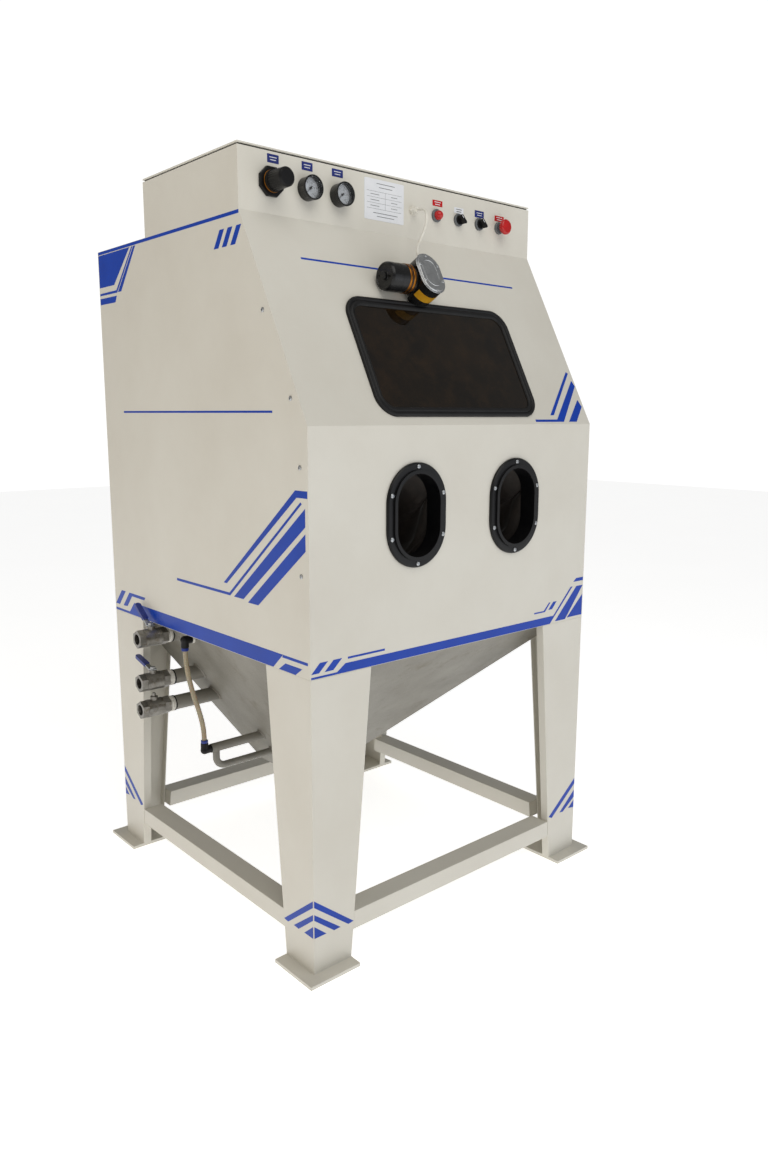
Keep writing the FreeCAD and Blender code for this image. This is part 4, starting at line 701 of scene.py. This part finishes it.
# Selectors: a pale pointer line on each handle
for name, node in (("left", "left_selector_knob"), ("right", "right_selector_knob")):
    low, high = [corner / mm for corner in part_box(node)]
    x = joints[name + "_selector_turn"]["pos_m"][0] / mm
    bm = bmesh.new()
    place = onHead @ at(x, controlsZ, headFront / mm - low.y) @ turnedBy(45, "Z")
    addBox(bm, (1.6, 9, 0.3), place @ at(0, 7.5, 0), edge=0.1)
    makePiece(name + "SelectorMark", bm, "printedPlate", body=name + "_selector")
print("head controls dressed")


# Valves: levers with dipped grips, taped threads, worn rims and gland nuts
valve = dict(y=238, heights=(703, 574, 495), mouth=-561, length=88, stem=-517, pivot=14, gripFrom=20)
tailX = valve["mouth"] + valve["length"]


def leverChooser(height):
    pivot = Vector((valve["stem"], valve["y"] + valve["pivot"], height + 33)) * mm

    def choose(centre):
        return 1 if (centre - pivot).length > valve["gripFrom"] * mm and centre.y > pivot.y else 0

    return choose


easedCopy("top_valve_lever", 0.8, ["zincPlatedSteel", "dippedVinyl"], body="top_valve",
          chooser=leverChooser(valve["heights"][0]))
easedCopy("middle_valve_lever", 0.8, ["zincPlatedSteel", "dippedVinyl"], body="middle_valve",
          chooser=leverChooser(valve["heights"][1]))
tape = bmesh.new()
seams = bmesh.new()
rims = bmesh.new()
for number, z in enumerate(valve["heights"]):
    alongPipe = inRoom @ at(0, valve["y"], z) @ turnedBy(90, "Y")
    steps = [(20.6, tailX - 1)]
    for i in range(7):
        spot = tailX - 0.5 + i * 2.2
        steps += [(21.6 + 1.1 * math.sin(2.3 * i + number), spot),
                  (22.4 + 0.9 * math.cos(1.7 * i), spot + 1.1)]
    steps += [(20.9, tailX + 15.4)]
    addTurned(tape, steps, alongPipe, count=40, closed=False)
    addTurned(seams, [(21.0, tailX + 15.6), (22.6, tailX + 15.8), (22.6, tailX + 18.4), (21.0, tailX + 18.6)],
              alongPipe, count=48, closed=True)
    addTurned(rims, [(15.4, valve["mouth"] - 0.1), (21, valve["mouth"] - 0.1), (21.4, valve["mouth"] + 0.8),
                     (15.4, valve["mouth"] + 0.8)], alongPipe, count=48, closed=True)
    for ring in (22, 27, 61, 66):
        addTurned(rims, [(24.6, valve["mouth"] + ring), (25.7, valve["mouth"] + ring + 0.5),
                         (25.7, valve["mouth"] + ring + 2.0), (24.6, valve["mouth"] + ring + 2.5)],
                  alongPipe, count=48, closed=True)
makePiece("threadTape", tape, "sealingTape")
makePiece("pipeSeams", seams, "blackRubber")
makePiece("valveRims", rims, "nickelPlatedBrass")

# Level tube fittings: blue release collars and taped threads on the black elbows
tube = dict(y=93, top=(-490, 718), foot=(-440, 387))
collars = bmesh.new()
tape = bmesh.new()
for (x, z), down in ((tube["top"], -1), (tube["foot"], 1)):
    elbow = inRoom @ at(x, tube["y"], z)
    collarSteps = [(7.3, 22), (9.9, 22), (10.2, 23), (10.2, 29), (9.4, 30), (7.3, 30)]
    addTurned(collars, [(radius, down * height) for radius, height in collarSteps], elbow, count=32,
              closed=True)
    addTurned(tape, [(10.2, 19.8), (12.0, 20.2), (12.4, 22.4), (11.6, 24.4), (12.2, 26.4), (10.2, 27.6)],
              elbow @ turnedBy(90, "Y"), count=32, closed=True)
makePiece("releaseCollars", collars, "dippedVinyl")
makePiece("elbowTape", tape, "sealingTape")
print("valves and level tube dressed")

# Weld beads where the pipes meet the hopper's left sheet, which leans in as it goes down
weld = dict(topX=-470, topZ=740, lean=310 / 490, bead=4.2)
beads = bmesh.new()


def addWeld(y, z, radius):
    x = weld["topX"] + (weld["topZ"] - z) * weld["lean"]
    shear = Matrix.Identity(4)
    shear[0][2] = -weld["lean"]
    bead = weld["bead"]
    beadSteps = [(radius - 1, -1.1 * bead), (radius + 0.5 * bead, -0.9 * bead), (radius + bead, -0.2 * bead),
                 (radius + 0.9 * bead, 0.5 * bead), (radius - 1, 0.6 * bead)]
    addTurned(beads, beadSteps,
              inRoom @ at(x, y, z) @ shear @ turnedBy(90, "Y"), count=40, closed=True)


for z in valve["heights"]:
    addWeld(valve["y"], z, 21)
for z, radius in ((718, 9), (387, 13), (328, 10)):
    addWeld(tube["y"], z, radius)
# the beads take the same darker paint: painted shade under the chamber, with slurry stains
makePiece("weldBeads", beads, "shadeAndSlurryPowderCoat", smooth=60)

# Plates that close the rails' ends, welded in just behind the edge
rail = dict(low=79, high=127, width=60, wall=3, legLow=121.1, legHigh=125.4, back=1.5, plate=2.0)
caps = bmesh.new()
tilt = math.degrees(math.atan2(rail["legHigh"] - rail["legLow"], rail["high"] - rail["low"]))
middleZ = (rail["low"] + rail["high"]) / 2
inner = rail["width"] - 2 * rail["wall"]
for side in (-1, 1):
    for end in (-1, 1):
        along = end * (frontHalf - (rail["legLow"] + rail["legHigh"]) / 2 - rail["back"])
        across = side * (frontHalf - 1 - rail["width"] / 2)
        addBox(caps, (rail["plate"], inner, rail["high"] - rail["low"] - 2 * rail["wall"]),
               inRoom @ at(along, across, middleZ) @ turnedBy(-end * tilt, "Y"))
        addBox(caps, (inner, rail["plate"], rail["high"] - rail["low"] - 2 * rail["wall"]),
               inRoom @ at(across, along, middleZ) @ turnedBy(end * tilt, "X"))
makePiece("railEndPlates", caps, "creamPowderCoat")

# Foam seal in the gap under the control box's lid
seal = dict(setBack=4.7, thickness=0.5, height=3.6)
low, high = [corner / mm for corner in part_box("control_box")]
strips = bmesh.new()
sealZ = high.z + 2
for y in (low.y + seal["setBack"], high.y - seal["setBack"]):
    addBox(strips, (high.x - low.x - 2 * seal["setBack"], seal["thickness"], seal["height"]),
           inRoom @ at(0, y, sealZ))
for x in (low.x + seal["setBack"], high.x - seal["setBack"]):
    addBox(strips, (seal["thickness"], high.y - low.y - 2 * seal["setBack"], seal["height"]),
           inRoom @ at(x, (low.y + high.y) / 2, sealZ))
makePiece("lidSeal", strips, "blackRubber")
print("welds, end plates and seals made")


# Sleeves: coated cloth held at the port's collar and at the glove's cuff, with spare length between
sleeve = dict(portZ=1091, ports={"left": -178.5, "right": 178.5}, half=(78.8, 109.3), start=10, around=88,
              rings=46, closing=7, tip=12, tipDrop=5, tipTurn=0.46)
cloth = dict(frames=24, cap=24, free=0.3, shrink=-0.13, quality=6, mass=0.12, tension=14, shear=4,
             bending=0.35)
sleeveLine = [(10, 0, 1.0, 1.0), (37, 0, 1.0, 1.0), (165, -45, 0.82, 0.84), (318, -143, 0.64, 0.58)]


def sleeveAt(depth):
    for (d0, *low), (d1, *high) in zip(sleeveLine, sleeveLine[1:]):
        if depth <= d1:
            share = (depth - d0) / (d1 - d0)
            return [a + share * (b - a) for a, b in zip(low, high)]
    return sleeveLine[-1][1:]


def makeSleeve(name, node, x):
    bm = bmesh.new()
    end = sleeveLine[-1][0]
    rings = []
    for i in range(sleeve["rings"]):
        depth = sleeve["start"] + i * (end - sleeve["start"]) / (sleeve["rings"] - 1)
        drop, wide, tall = sleeveAt(depth)
        rings.append((depth, drop, wide * sleeve["half"][0], tall * sleeve["half"][1]))
    for i in range(1, sleeve["closing"] + 1):
        share = i / sleeve["closing"]
        shut = math.cos(share * sleeve["tipTurn"] * math.pi)
        drop, wide, tall = sleeveAt(end)
        rings.append((end + sleeve["tip"] * math.sin(share * math.pi / 2), drop - sleeve["tipDrop"] * share,
                      wide * sleeve["half"][0] * shut, tall * sleeve["half"][1] * shut))
    loops = []
    for depth, drop, wide, tall in rings:
        loop = addRing(bm, wide, 0, (0, tall - wide), sleeve["around"])
        bmesh.ops.transform(bm, verts=loop, matrix=onFront @ at(x, sleeve["portZ"] + drop, -depth))
        loops.append(loop)
    edges = [list({e for v in loop for e in v.link_edges}) for loop in loops]
    for first, second in zip(edges, edges[1:]):
        bmesh.ops.bridge_loops(bm, edges=first + second)
    bmesh.ops.edgeloop_fill(bm, edges=edges[-1])
    bm.verts.index_update()
    held = [v.index for loop in loops[:2] + loops[sleeve["rings"] - 1:] for v in loop]
    piece = makePiece(name, bm, "coatedCloth", stands=[node], smooth=180)
    rest = [v.co.copy() for v in piece.data.vertices]
    group = piece.vertex_groups.new(name="held")
    group.add(held, 1.0, "REPLACE")
    hanging = piece.modifiers.new("cloth", "CLOTH")
    hanging.settings.quality = cloth["quality"]
    hanging.settings.mass = cloth["mass"]
    hanging.settings.tension_stiffness = cloth["tension"]
    hanging.settings.compression_stiffness = cloth["tension"]
    hanging.settings.shear_stiffness = cloth["shear"]
    hanging.settings.bending_stiffness = cloth["bending"]
    hanging.settings.shrink_min = cloth["shrink"]
    hanging.settings.vertex_group_mass = "held"
    hanging.collision_settings.use_collision = False
    for step in range(1, cloth["frames"] + 1):
        bpy.context.scene.frame_set(step)
    evaluated = piece.evaluated_get(bpy.context.evaluated_depsgraph_get())
    moved = [v.co.copy() for v in evaluated.data.vertices]
    piece.modifiers.remove(hanging)
    bpy.context.scene.frame_set(1)
    for vert, old, new in zip(piece.data.vertices, rest, moved):
        fromCollar = (old.y - frontY) / mm - sleeve["start"]
        most = min(cloth["cap"], max(0.0, cloth["free"] * fromCollar)) * mm
        step = new - old
        vert.co = old + step * min(1.0, most / step.length) if step.length else old
    smooth = piece.modifiers.new("smooth", "SUBSURF")
    smooth.levels = 1
    smooth.render_levels = 1


for side, x in sleeve["ports"].items():
    makeSleeve(side + "SleeveCloth", side + "_sleeve", x)
print("sleeves made")
